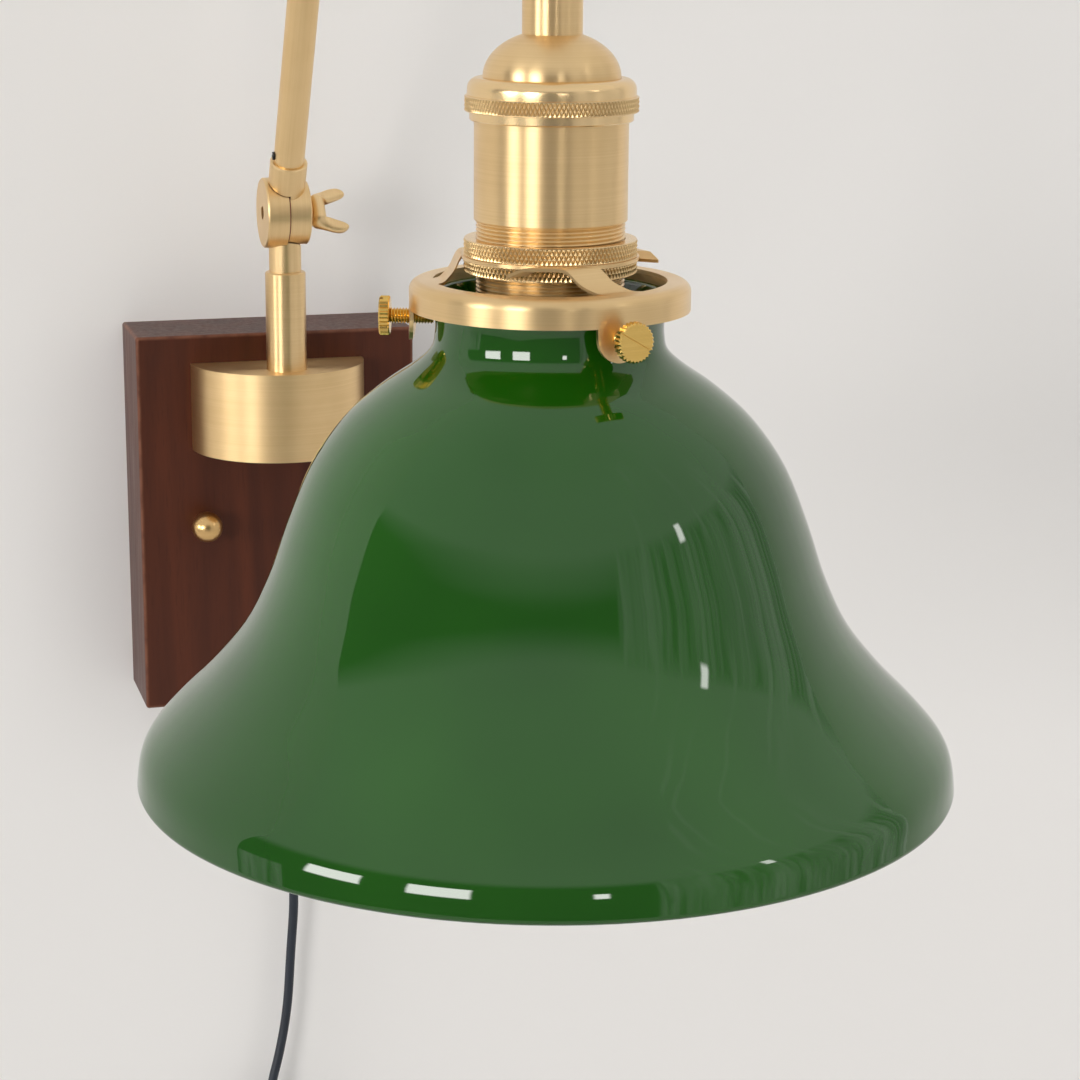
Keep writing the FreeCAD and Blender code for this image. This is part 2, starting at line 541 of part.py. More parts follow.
# --- Gooseneck ---------------------------------------------------------------------------------------
def gooseneck_path(start, end_z):
    """From a distance up the leaning arm, over the bend and straight down to a height."""
    lean = radians(LEAN)
    along, bulge = V(0, -sin(lean), cos(lean)), V(0, -cos(lean), -sin(lean))
    foot, bend_start = KNUCKLE + along * start, KNUCKLE + along * STRAIGHT
    centre = bend_start + bulge * BEND_R
    mid_angle = (pi + lean) / 2
    top = centre + V(0, cos(mid_angle), sin(mid_angle)) * BEND_R
    bend_end = centre - Y * BEND_R
    return [line(foot, bend_start), arc(bend_start, top, bend_end),
            line(bend_end, V(0, LAMP_Y, end_z))]


def gooseneck_tube():
    body = pipe(gooseneck_path(STUB_LEN, TUBE_END_Z), TUBE_R)
    body = body.cut(pipe(gooseneck_path(STUB_LEN - 1, TUBE_END_Z - 1), TUBE_R - TUBE_WALL))
    return body.cut(leaned(pin_rod()))


def lead_in_arm():
    return pipe(gooseneck_path(KNUCKLE_R + 1, CORE_TOP), LEAD_R)


# --- Lampholder --------------------------------------------------------------------------------------
LAMP = V(0, LAMP_Y, 0)


def tube_coupler():
    body = ring(COUPLER_R, NIPPLE_R, LAMP_TOP, LAMP_TOP + COUPLER_H, LAMP)
    body = body.cut(rod(TUBE_R, LAMP + Z * TUBE_END_Z, LAMP + Z * (LAMP_TOP + COUPLER_H + 1)))
    rims = [e for e in body.Edges if e.BoundBox.ZMin > LAMP_TOP + COUPLER_H - EMBED
            and e.BoundBox.XMax > TUBE_R + EMBED]
    return body.makeChamfer(BREAK, rims)


def coupler_nipple():
    return ring(NIPPLE_R, WIRE_BORE_R, LAMP_TOP - NIPPLE_BELOW, TUBE_END_Z - 1, LAMP)


def nipple_nut():
    top = LAMP + Z * (LAMP_TOP - DOME_WALL)
    nut = hexagon(NIPPLE_NUT_AF, top, top - Z * NIPPLE_NUT_H)
    return nut.cut(rod(NIPPLE_R, top + Z, top - Z * (NIPPLE_NUT_H + 1)))


def dome_arc(radius, height, top_r):
    """A quarter-ellipse edge from the dome's side up to its flat top, about the origin."""
    squash = sqrt(1 - (top_r / radius) ** 2)
    side, top, middle = V(radius, 0, 0), V(0, 0, height / squash), V(0, 0, 0)
    longer_first = (side, top) if side.Length > top.Length else (top, side)
    curve = Part.Ellipse(*longer_first, middle)
    ends = [curve.parameter(V(radius, 0, 0)), curve.parameter(V(top_r, 0, height))]
    return Part.ArcOfEllipse(curve, *ends).toShape()


def dome_cap():
    outer = dome_arc(DOME_R, DOME_H, COUPLER_R)
    inner_r, inner_h = DOME_R - DOME_WALL, DOME_H - DOME_WALL
    inner = dome_arc(inner_r, inner_h, COUPLER_R)
    for edge in (outer, inner):
        edge.translate(Z * DOME_BOTTOM)
    under, flange = FLANGE_TOP - DOME_FLANGE_T, FLANGE_TOP
    edges = [
        line(V(DOME_R, 0, flange), V(DOME_R, 0, DOME_BOTTOM)), outer,
        line(V(COUPLER_R, 0, LAMP_TOP), V(NIPPLE_R, 0, LAMP_TOP)),
        line(V(NIPPLE_R, 0, LAMP_TOP), V(NIPPLE_R, 0, LAMP_TOP - DOME_WALL)),
        line(V(NIPPLE_R, 0, LAMP_TOP - DOME_WALL), V(COUPLER_R, 0, LAMP_TOP - DOME_WALL)), inner,
        line(V(inner_r, 0, DOME_BOTTOM), V(inner_r, 0, under)),
        line(V(inner_r, 0, under), V(DOME_FLANGE_R, 0, under)),
        line(V(DOME_FLANGE_R, 0, under), V(DOME_FLANGE_R, 0, flange)),
        line(V(DOME_FLANGE_R, 0, flange), V(DOME_R, 0, flange)),
    ]
    return turned_edges(Part.__sortEdges__(edges), LAMP)


def collar_ring():
    top, band_top = DOME_BOTTOM, DOME_BOTTOM - COLLAR_TOP_H
    band_bottom = band_top - COLLAR_BAND_H
    mouth, bore = DOME_R + RUNNING, SHELL_R
    corner = COLLAR_ROUND * (1 - cos(pi / 4))
    round_start = V(COLLAR_R - COLLAR_ROUND, 0, top)
    round_end = V(COLLAR_R, 0, top - COLLAR_ROUND)
    middle = V(COLLAR_R - corner, 0, top - corner)
    edges = [
        line(V(mouth, 0, FLANGE_TOP), V(mouth, 0, top)), line(V(mouth, 0, top), round_start),
        arc(round_start, middle, round_end), line(round_end, V(COLLAR_R, 0, band_top)),
        line(V(COLLAR_R, 0, band_top), V(COLLAR_BAND_R, 0, band_top)),
        line(V(COLLAR_BAND_R, 0, band_top), V(COLLAR_BAND_R, 0, band_bottom)),
        line(V(COLLAR_BAND_R, 0, band_bottom), V(COLLAR_LIP_R, 0, band_bottom)),
        line(V(COLLAR_LIP_R, 0, band_bottom), V(COLLAR_LIP_R, 0, COLLAR_BOTTOM)),
        line(V(COLLAR_LIP_R, 0, COLLAR_BOTTOM), V(bore, 0, COLLAR_BOTTOM)),
        line(V(bore, 0, COLLAR_BOTTOM), V(bore, 0, FLANGE_TOP)),
        line(V(bore, 0, FLANGE_TOP), V(mouth, 0, FLANGE_TOP)),
    ]
    return turned_edges(edges, LAMP)


def socket_shell():
    inner = SHELL_R - SHELL_WALL
    bevel = SHELL_R - THREAD_R
    return turned([
        (inner, SHELL_TOP), (SHELL_R, SHELL_TOP), (SHELL_R, THREAD_TOP + bevel), (THREAD_R, THREAD_TOP),
        (THREAD_R, THREAD_BOTTOM), (inner, THREAD_BOTTOM),
    ], LAMP)


def lampholder_core():
    bottom = CORE_TOP - CORE_LEN
    body = turned([
        (0, CORE_TOP), (DOME_FLANGE_R, CORE_TOP), (DOME_FLANGE_R, SHELL_TOP), (CORE_R, SHELL_TOP),
        (CORE_R, bottom), (SCREW_SLEEVE_R, bottom), (SCREW_SLEEVE_R, CONTACT_Z), (0, CONTACT_Z),
    ], LAMP)
    for side in (-1, 1):
        hole = LAMP + X * side * CORE_SCREW_X
        above, below = hole + Z * (CORE_TOP + 1), hole + Z * (CORE_TOP - CORE_SCREW_LEN)
        body = body.cut(rod(CORE_SCREW_R, above, below))
    return body


def core_screws():
    solids = []
    for side in (-1, 1):
        at = LAMP + X * side * CORE_SCREW_X + Z * CORE_TOP
        head = rod(CORE_HEAD_R, at, at + Z * CORE_HEAD_H)
        solids.append(head.fuse(rod(CORE_SCREW_R, at, at - Z * CORE_SCREW_LEN)).removeSplitter())
    return Part.makeCompound(solids)


def screw_sleeve():
    inner = SCREW_SLEEVE_R - SCREW_SLEEVE_WALL
    return ring(SCREW_SLEEVE_R, inner, CONTACT_Z - SCREW_SLEEVE_LEN, CONTACT_Z, LAMP)


def centre_contact():
    strip = block(-CONTACT_TAIL, CONTACT_W / 2 + 1, LAMP_Y - CONTACT_W / 2, LAMP_Y + CONTACT_W / 2,
                  CONTACT_Z - CONTACT_T, CONTACT_Z)
    button = rod(CONTACT_BUTTON_R, LAMP + Z * BULB_TOP, LAMP + Z * CONTACT_Z)
    return strip.fuse(button).removeSplitter()


def ring_nut(top, height):
    nut = ring(NUT_R, THREAD_R, top - height, top, LAMP)
    return nut.makeChamfer(NUT_BREAK, [e for e in nut.Edges if e.BoundBox.XMax > NUT_R - EMBED
                                  and e.BoundBox.ZLength < EMBED])


# --- Gallery, thumb screws and shade -----------------------------------------------------------------
def gallery():
    inner, flange_under = RING_R - RING_T, RING_TOP - RING_T
    corner = RING_ROUND * (1 - cos(pi / 4))
    inset = (RING_ROUND - RING_T) * (1 - cos(pi / 4))
    edges = [
        line(V(RING_HOLE_R, 0, flange_under), V(RING_HOLE_R, 0, RING_TOP)),
        line(V(RING_HOLE_R, 0, RING_TOP), V(RING_R - RING_ROUND, 0, RING_TOP)),
        arc(V(RING_R - RING_ROUND, 0, RING_TOP), V(RING_R - corner, 0, RING_TOP - corner),
            V(RING_R, 0, RING_TOP - RING_ROUND)),
        line(V(RING_R, 0, RING_TOP - RING_ROUND), V(RING_R, 0, RING_BOTTOM)),
        line(V(RING_R, 0, RING_BOTTOM), V(inner, 0, RING_BOTTOM)),
        line(V(inner, 0, RING_BOTTOM), V(inner, 0, RING_TOP - RING_ROUND)),
        arc(V(inner, 0, RING_TOP - RING_ROUND), V(inner - inset, 0, flange_under - inset),
            V(RING_R - RING_ROUND, 0, flange_under)),
        line(V(RING_R - RING_ROUND, 0, flange_under), V(RING_HOLE_R, 0, flange_under)),
    ]
    body = turned_edges(edges, LAMP)
    body = body.fuse(ring(SPIDER_R, THREAD_R + RUNNING, SPIDER_BOTTOM, SPIDER_TOP, LAMP))
    for k in range(SCREW_COUNT):
        body = body.fuse(gallery_arm(TAB_ANGLE + ARM_FROM_TAB + 360 / SCREW_COUNT * k))
        body = body.fuse(gallery_tab(TAB_ANGLE + 360 / SCREW_COUNT * k))
    return body.removeSplitter()


def gallery_arm(angle):
    """A strap that leaves the spider at a tangent and bends down to the ring along slanting folds."""
    bend = [(t, SPIDER_TOP + drop) for t, drop in ARM_BEND] + [(ARM_FOOT, RING_TOP)]
    tail = [(-ARM_TAIL - ARM_TAIL_LEN, SPIDER_TOP - ARM_TAIL_DROP), (-ARM_TAIL, SPIDER_TOP)]
    top = [V(ARM_OUTER, t, z) for t, z in tail + bend[:1]]
    curve = Part.BSplineCurve()
    curve.interpolate([V(ARM_OUTER, t, z) for t, z in bend], InitialTangent=Y, FinalTangent=Y)
    end = V(ARM_OUTER, ARM_END, RING_TOP)
    edges = [line(top[0], top[1]), line(top[1], top[2]), curve.toShape(), line(curve.EndPoint, end)]
    under = [e.translated(Z * -SPIDER_T) for e in edges]
    sides = [line(top[0] - Z * SPIDER_T, top[0]), line(end, end - Z * SPIDER_T)]
    inwards = V(-1, ARM_SKEW, 0) * (ARM_OUTER - ARM_INNER)
    strap = Part.Face(Part.Wire(Part.__sortEdges__(edges + under + sides))).extrude(inwards)
    outside = rod(RING_R - RING_ROUND, Z * (RING_TOP - 5), Z * (SPIDER_TOP + 5))
    inside = rod(THREAD_R + RUNNING, Z * (RING_TOP - 5), Z * (SPIDER_TOP + 5))
    nut = rod(NUT_R + FREE, Z * (SPIDER_BOTTOM - LOWER_NUT_H - FREE), Z * SPIDER_BOTTOM)
    return about(angle)(strap.common(outside).cut(inside).cut(nut))


def gallery_tab(angle):
    """A rounded tab below the ring, with the hole that a thumb screw turns in."""
    end_z = RING_BOTTOM - TAB_BELOW + TAB_W / 2
    shell = ring(RING_R, RING_R - RING_T, RING_BOTTOM - TAB_BELOW - 1, RING_BOTTOM + EMBED)
    plan = block(0, RING_R + 5, -TAB_W / 2, TAB_W / 2, end_z, RING_BOTTOM + EMBED)
    plan = plan.fuse(rod(TAB_W / 2, V(0, 0, end_z), V(RING_R + 5, 0, end_z)))
    hole = rod(THUMB_SHANK_R + RUNNING, V(0, 0, THUMB_Z), V(RING_R + 5, 0, THUMB_Z))
    return about(angle)(shell.common(plan).cut(hole))


def thumb_screw(index):
    """A slotted screw with a milled head, its tip at the glass neck."""
    under = RING_R + THUMB_STANDOFF
    tip = V(SHADE_NECK_R + TIP_GAP, 0, THUMB_Z)
    shank = rod(THUMB_SHANK_R, tip, V(under + 1, 0, THUMB_Z))
    head = rod(THUMB_R, V(under, 0, THUMB_Z), V(under + THUMB_H, 0, THUMB_Z))
    head = head.makeChamfer(NUT_BREAK, [e for e in head.Edges if e.BoundBox.XLength < EMBED])
    slot = block(under + THUMB_H - THUMB_SLOT_D, under + THUMB_H + 1, -THUMB_R - 1, THUMB_R + 1,
                 THUMB_Z - THUMB_SLOT_W / 2, THUMB_Z + THUMB_SLOT_W / 2)
    body = head.cut(slot).fuse(shank).removeSplitter()
    body.rotate(V(0, 0, THUMB_Z), X, THUMB_TURN + THUMB_TURN_STEP * index)
    return about(TAB_ANGLE + 360 / SCREW_COUNT * index)(body)


def glass_shade():
    outer = [V(r, 0, RIM_Z + z) for r, z in SHADE_OUTLINE]
    inner = []
    for k, point in enumerate(outer):
        along = outer[min(k + 1, len(outer) - 1)] - outer[max(k - 1, 0)]
        inward = V(-along.z, 0, along.x).normalize()
        inner.append(point + inward * SHADE_WALL)
    inner[0] = V(outer[0].x - SHADE_WALL, 0, RIM_Z)
    inner[-1] = V(SHADE_TOP_R - SHADE_WALL, 0, outer[-1].z)
    curves = []
    for points in (outer, inner):
        curve = Part.BSplineCurve()
        curve.interpolate(points)
        curves.append(curve.toShape())
    lip_out, lip_in = V(SHADE_TOP_R, 0, outer[-1].z), inner[-1]
    rim_mid = V(SHADE_OUTLINE[0][0] - SHADE_WALL / 2, 0, RIM_Z - SHADE_WALL / 2)
    lip_mid = V(SHADE_TOP_R - SHADE_WALL / 2, 0, LIP_TOP)
    edges = [curves[0], arc(lip_out, lip_mid, lip_in), curves[1], arc(outer[0], rim_mid, inner[0])]
    return turned_edges(Part.__sortEdges__(edges), LAMP)


# --- Bulb --------------------------------------------------------------------------------------------
BULB_CAP_TOP = BULB_TOP - BULB_TIP_H - BULB_INSULATOR_H
BULB_CAP_BOTTOM = BULB_CAP_TOP - BULB_CAP_LEN
BULB_BOTTOM = BULB_TOP - BULB_LEN


def bulb_outline(shrink):
    """The envelope's half-section as edges, drawn in by the given amount."""
    centre_z = BULB_BOTTOM + BULB_R
    radius, neck = BULB_R - shrink, BULB_CAP_R - BULB_GLASS_WALL - shrink
    bottom, side = V(0, 0, BULB_BOTTOM + shrink), V(radius, 0, centre_z)
    bend = V(radius * sin(pi / 4), 0, centre_z - radius * cos(pi / 4))
    shoulder = Part.BSplineCurve()
    neck_z = BULB_CAP_BOTTOM - 3
    rise = neck_z - centre_z
    shoulder.interpolate([side, V(radius * 0.93, 0, centre_z + rise * 0.3),
                          V(radius * 0.68, 0, centre_z + rise * 0.62), V(neck, 0, neck_z)],
                         InitialTangent=Z, FinalTangent=Z)
    top = BULB_CAP_BOTTOM + BULB_SOCKET - shrink
    return [arc(bottom, bend, side), shoulder.toShape(), line(V(neck, 0, neck_z), V(neck, 0, top)),
            line(V(neck, 0, top), V(0, 0, top)), line(V(0, 0, top), bottom)]


def bulb_envelope():
    return turned_edges(bulb_outline(0), LAMP).cut(turned_edges(bulb_outline(BULB_GLASS_WALL), LAMP))


def bulb_cap():
    outer = rod(BULB_CAP_R, LAMP + Z * BULB_CAP_BOTTOM, LAMP + Z * BULB_CAP_TOP)
    well = rod(BULB_CAP_R - BULB_GLASS_WALL, LAMP + Z * (BULB_CAP_BOTTOM - 1),
               LAMP + Z * (BULB_CAP_BOTTOM + BULB_SOCKET))
    return outer.cut(well)


def bulb_insulator():
    low, high = LAMP + Z * BULB_CAP_TOP, LAMP + Z * (BULB_CAP_TOP + BULB_INSULATOR_H)
    return Part.makeCone(BULB_CAP_R - 2, BULB_TIP_R + 1, BULB_INSULATOR_H, low, high - low)


def bulb_tip():
    low = LAMP + Z * (BULB_CAP_TOP + BULB_INSULATOR_H)
    return rod(BULB_TIP_R, low, LAMP + Z * BULB_TOP)


def bulb_stem():
    top, foot = BULB_CAP_BOTTOM + BULB_SOCKET - BULB_GLASS_WALL, BULB_CAP_BOTTOM - STEM_LEN
    stem = rod(STEM_R, LAMP + Z * foot, LAMP + Z * top)
    post = rod(STEM_TIP_R, LAMP + Z * (foot - FILAMENT_LEN), LAMP + Z * (foot + 1))
    return stem.fuse(post).removeSplitter()


def bulb_filaments():
    high = BULB_CAP_BOTTOM - STEM_LEN + 2
    star = ring(CROWN_R, STEM_R, high - 1.2, high, LAMP)
    for k in range(FILAMENT_COUNT):
        angle = 2 * pi * k / FILAMENT_COUNT
        at = LAMP + V(cos(angle), sin(angle), 0) * FILAMENT_RING_R
        star = star.fuse(rod(FILAMENT_R, at + Z * (high - 1), at + Z * (high - 1 - FILAMENT_LEN)))
    return star.removeSplitter()


# --- Wiring in the block -----------------------------------------------------------------------------
POCKET_BOTTOM = -(BLOCK_H / 2 - BLOCK_WALL)
TERMINAL_Z = POCKET_BOTTOM + TERMINAL_ABOVE
CLAMP_Z = POCKET_BOTTOM + CLAMP_ABOVE
SMALL_SCREW_R, SMALL_HEAD_R, SMALL_HEAD_H = 1.4, 2.4, 1.6


def cord_grommet():
    low = V(0, EXIT_Y, -BLOCK_H / 2)
    body = rod(GROMMET_R, low, low + Z * BLOCK_WALL)
    body = body.fuse(Part.makeCone(GROMMET_FLANGE_R - 1.5, GROMMET_FLANGE_R, GROMMET_FLANGE_H,
                                   low - Z * GROMMET_FLANGE_H, Z))
    bore = rod(CORD_R, low - Z * (GROMMET_FLANGE_H + 1), low + Z * (BLOCK_WALL + 1))
    return body.cut(bore).removeSplitter()


def supply_lead():
    foot = V(0, EXIT_Y, -BLOCK_H / 2 - GROMMET_FLANGE_H)
    return rod(CORD_R, foot, V(0, EXIT_Y, TERMINAL_Z))


def cord_clamp():
    body = block(-CLAMP_W / 2, CLAMP_W / 2, POCKET_Y, POCKET_Y + CLAMP_T, CLAMP_Z, CLAMP_Z + CLAMP_H)
    body = body.cut(rod(CORD_R, V(0, EXIT_Y, CLAMP_Z - 1), V(0, EXIT_Y, CLAMP_Z + CLAMP_H + 1)))
    for at in clamp_screw_places():
        body = body.cut(rod(SMALL_SCREW_R, at + Y, V(at.x, POCKET_Y - 1, at.z)))
    return body


def clamp_screw_places():
    return [V(side * (CLAMP_W / 2 - 3), POCKET_Y + CLAMP_T, CLAMP_Z + CLAMP_H / 2) for side in (-1, 1)]


def cord_clamp_screws():
    solids = []
    for at in clamp_screw_places():
        head = rod(SMALL_HEAD_R, at, at + Y * SMALL_HEAD_H)
        solids.append(head.fuse(rod(SMALL_SCREW_R, at, V(at.x, POCKET_Y, at.z))).removeSplitter())
    return Part.makeCompound(solids)


def terminal_block():
    body = block(-TERMINAL_W / 2, TERMINAL_W / 2, POCKET_Y, POCKET_Y + TERMINAL_T, TERMINAL_Z,
                 TERMINAL_Z + TERMINAL_H)
    for at in terminal_screw_places():
        body = body.cut(rod(SMALL_HEAD_R, at + Y, at - Y * 3))
    return body


def terminal_screw_places():
    front = POCKET_Y + TERMINAL_T
    return [V(side * TERMINAL_W / 4, front, TERMINAL_Z + up) for side in (-1, 1)
            for up in (TERMINAL_H / 4, TERMINAL_H * 3 / 4)]


def terminal_screws():
    solids = []
    for at in terminal_screw_places():
        head = rod(SMALL_HEAD_R, at - Y * 3, at - Y)
        slot = block(at.x - SMALL_HEAD_R, at.x + SMALL_HEAD_R, at.y - 1 - SLOT_D, at.y,
                     at.z - SLOT_W / 2, at.z + SLOT_W / 2)
        solids.append(head.cut(slot))
    return Part.makeCompound(solids)


def lead_in_base():
    bend = LEAD_BEND
    low = V(0, EXIT_Y, TERMINAL_Z + TERMINAL_H)
    turn_a, turn_b = V(0, EXIT_Y, CABLE_HOLE_Z), V(0, POST_Y, CABLE_HOLE_Z)
    top = V(0, POST_Y, KNUCKLE_Z - KNUCKLE_ARM_R - 2 * FREE)
    eighth = bend * (1 - cos(pi / 4))
    edges = [
        line(low, turn_a - Z * bend),
        arc(turn_a - Z * bend, turn_a - Z * eighth - Y * eighth, turn_a - Y * bend),
        line(turn_a - Y * bend, turn_b + Y * bend),
        arc(turn_b + Y * bend, turn_b + Y * eighth + Z * eighth, turn_b + Z * bend),
        line(turn_b + Z * bend, top),
    ]
    return pipe(edges, LEAD_R)


# --- Cord, switch, coil and plug -----------------------------------------------------------------------
def free_cord(name, points):
    """A free stretch of the cord, with its radii and its volume against section times length."""
    edges, radii = route(points)
    solid = pipe(edges, CORD_R)
    length = sum(e.Length for e in edges)
    print(f"{name}: length {length:.1f}, radii {[round(r) for r in radii]},"
          f" volume ratio {solid.Volume / (pi * CORD_R**2 * length):.4f}")
    save(name, solid)


def coil_heading(angle):
    """The way the cord runs where it passes an angle round the coil."""
    return V(-sin(radians(angle)), 0, cos(radians(angle)))


def coil_stations():
    """Points and directions along the coil's centreline, layer by layer, its centre and inner radius."""
    start = CORD_MIDDLE[-1] + coil_heading(COIL_START) * 2 * CORD_R
    centre = start - V(cos(radians(COIL_START)), 0, sin(radians(COIL_START))) * COIL_OUTER_R
    turns = COIL_FULL_TURNS + (COIL_END - COIL_START) / 360
    layer_turns = (turns - 0.5 * (COIL_LAYERS - 1)) / COIL_LAYERS
    steps = ceil(layer_turns * 4)
    stations, angle, inner = [], COIL_START, COIL_OUTER_R - COIL_STEP * layer_turns
    for layer in range(COIL_LAYERS):
        depth = start.y - layer * COIL_LAYER
        for step in range(steps + 1):
            share = step / steps
            share = share if layer % 2 == 0 else 1 - share
            radius = COIL_OUTER_R + (inner - COIL_OUTER_R) * share
            at = angle + 360 * layer_turns * step / steps
            point = V(centre.x, depth, centre.z) + coil_heading(at - 90) * radius
            stations.append((point, coil_heading(at)))
        angle += 360 * layer_turns + 180
    return stations, centre, inner


def cord_coil():
    stations, _, inner = coil_stations()
    edges = [line(CORD_MIDDLE[-1], stations[0][0])]
    for (start, leaving), (end, arriving) in zip(stations, stations[1:]):
        edges += biarc(start, leaving, end, arriving)
    edges.append(line(stations[-1][0], coil_exit()))
    points = [p for e in edges for p in e.discretize(Number=12)[:-1]]
    gap, skip = 1e9, 40
    for i in range(0, len(points) - skip):
        for j in range(i + skip, len(points)):
            gap = min(gap, (points[i] - points[j]).Length)
    solid = pipe(edges, CORD_R)
    length = sum(e.Length for e in edges)
    print(f"cord_coil: length {length:.1f}, inner radius {inner:.1f}, least gap {gap - 2 * CORD_R:.2f},"
          f" volume ratio {solid.Volume / (pi * CORD_R**2 * length):.4f},"
          f" ends at {tuple(round(c, 3) for c in coil_exit())}")
    return solid


def coil_exit():
    """Where the coil's last straight ends and the tail begins."""
    last, heading = coil_stations()[0][-1]
    return last + heading * 2 * CORD_R


def coil_ties():
    """Two flat bands round the bundle of turns."""
    _, centre, inner = coil_stations()
    slack = CORD_R + TIE_SLACK
    near, far = inner - slack, COIL_OUTER_R + slack
    back = CORD_MIDDLE[-1].y + slack
    front = CORD_MIDDLE[-1].y - (COIL_LAYERS - 1) * COIL_LAYER - slack
    outer = block(near - TIE_T, far + TIE_T, front - TIE_T, back + TIE_T, -TIE_W / 2, TIE_W / 2)
    band = outer.cut(block(near, far, front, back, -TIE_W, TIE_W))
    solids = []
    for angle in TIE_ANGLES:
        made = band.copy()
        made.rotate(V(0, 0, 0), Y, -angle)
        made.translate(V(centre.x, 0, centre.z))
        solids.append(made)
    return Part.makeCompound(solids)


SWITCH_TOP = CORD_UPPER[-1]
SWITCH_MIDDLE = SWITCH_TOP - Z * SWITCH_H / 2
SWITCH_FRONT = SWITCH_TOP.y - SWITCH_T / 2
ROCKER_AXIS = V(SWITCH_TOP.x, SWITCH_FRONT + ROCKER_IN, SWITCH_MIDDLE.z)


def switch_case():
    at = SWITCH_TOP
    body = block(at.x - SWITCH_W / 2, at.x + SWITCH_W / 2, at.y - SWITCH_T / 2, at.y + SWITCH_T / 2,
                 at.z - SWITCH_H, at.z)
    body = body.makeFillet(2.5, body.Edges)
    half_w, half_l = ROCKER_W / 2 + ROCKER_GAP, ROCKER_LEN / 2 + 2 * ROCKER_GAP
    well = block(at.x - half_w, at.x + half_w, SWITCH_FRONT - 1, SWITCH_FRONT + WELL_DEEP,
                 SWITCH_MIDDLE.z - half_l, SWITCH_MIDDLE.z + half_l)
    hole = half_w + ROCKER_PIN_LEN
    pin = rod(ROCKER_PIN_R + RUNNING, ROCKER_AXIS - X * hole, ROCKER_AXIS + X * hole)
    return body.cut(well).cut(pin)


def switch_rocker():
    """A see-saw key, stored with its lower end pressed."""
    half, foot = ROCKER_LEN / 2, ROCKER_LEN / 2 - 2
    outline = [(-half, ROCKER_OUT), (0, ROCKER_DIP), (half, ROCKER_OUT), (half, -ROCKER_SIDE),
               (foot, -ROCKER_DEEP), (-foot, -ROCKER_DEEP), (-half, -ROCKER_SIDE)]
    points = [ROCKER_AXIS - X * ROCKER_W / 2 + V(0, -out, up) for up, out in outline]
    key = Part.Face(Part.makePolygon(points + points[:1])).extrude(X * ROCKER_W)
    pin_half = ROCKER_W / 2 + ROCKER_PIN_LEN
    pin = rod(ROCKER_PIN_R, ROCKER_AXIS - X * pin_half, ROCKER_AXIS + X * pin_half)
    body = key.fuse(pin).removeSplitter()
    body.rotate(ROCKER_AXIS, X, ROCKER_TILT)
    return body


PLUG_TOP = coil_exit() + CORD_TAIL[-1]


def plug_body():
    at = PLUG_TOP
    neck = Part.makeCone(CORD_R + 2, CORD_R + 3.2, 8.5, at, -Z)
    body = block(at.x - PLUG_W / 2, at.x + PLUG_W / 2, at.y - PLUG_T / 2, at.y + PLUG_T / 2,
                 at.z - 8, at.z - PLUG_H)
    body = body.makeFillet(3.0, [e for e in body.Edges if e.BoundBox.ZMax > at.z - PLUG_H + EMBED])
    return body.fuse(neck).cut(plug_blades()).removeSplitter()


def plug_blades():
    solids = []
    for side in (-1, 1):
        x = PLUG_TOP.x + side * BLADE_PITCH / 2
        low = PLUG_TOP.z - PLUG_H
        solids.append(block(x - BLADE_T / 2, x + BLADE_T / 2, PLUG_TOP.y - BLADE_W / 2,
                            PLUG_TOP.y + BLADE_W / 2, low - BLADE_LEN, low + 10))
    return Part.makeCompound(solids)


# --- Everything is written ---------------------------------------------------------------------------
def main():
    os.makedirs("parts", exist_ok=True)
    for make in (
        wood_backplate, wall_bracket, bracket_studs, bracket_locknuts, ball_nuts, drum_cover, drum_screws,
        post_sleeve, swivel_set_screw, post_washer, post_nut, knuckle_base, friction_washer, knuckle_arm,
        tube_pin, wing_screw, gooseneck_tube, lead_in_arm, tube_coupler, coupler_nipple, nipple_nut,
        dome_cap, collar_ring, socket_shell, lampholder_core, core_screws, screw_sleeve, centre_contact,
        gallery, glass_shade, bulb_envelope, bulb_cap, bulb_insulator, bulb_tip, bulb_stem,
        bulb_filaments, cord_grommet, supply_lead, cord_clamp, cord_clamp_screws, terminal_block,
        terminal_screws, lead_in_base, cord_coil, coil_ties, switch_case, switch_rocker, plug_body,
        plug_blades,
    ):
        save(make.__name__, make())
    save("upper_ring_nut", ring_nut(UPPER_NUT_TOP, UPPER_NUT_H))
    save("lower_ring_nut", ring_nut(SPIDER_BOTTOM, LOWER_NUT_H))
    for index in range(SCREW_COUNT):
        save(f"thumb_screw_{index + 1}", thumb_screw(index))
    free_cord("cord_upper", CORD_UPPER)
    free_cord("cord_middle", CORD_MIDDLE)
    free_cord("cord_tail", [coil_exit() + point for point in CORD_TAIL])
    print(f"straight arm {STRAIGHT:.1f}, tilt axis at {tuple(round(c, 2) for c in KNUCKLE)},"
          f" rocker axis at {tuple(round(c, 2) for c in ROCKER_AXIS)},"
          f" thumb screws at height {THUMB_Z:.2f},"
          f" rim at {RIM_Z:.1f}, lamp axis at {LAMP_Y:.1f}, bulb from {BULB_BOTTOM:.1f} to {BULB_TOP:.1f}")


main()
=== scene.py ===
# %% [markdown]
# # A wall light with a gooseneck arm and a green glass bell
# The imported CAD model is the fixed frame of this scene. It gives every screw and tube its true
# place, and the cells below give them finishes, and swap the plain stand-ins for threads, knurls,
# blown glass and a hanging cord. Everything is in metres: X runs to the right along the wall,
# Y runs into the wall, and Z is up.

# %% Load the frame
import json
from math import asin, cos, pi, radians, sin

import bmesh
import bpy
from mathutils import Matrix, Vector


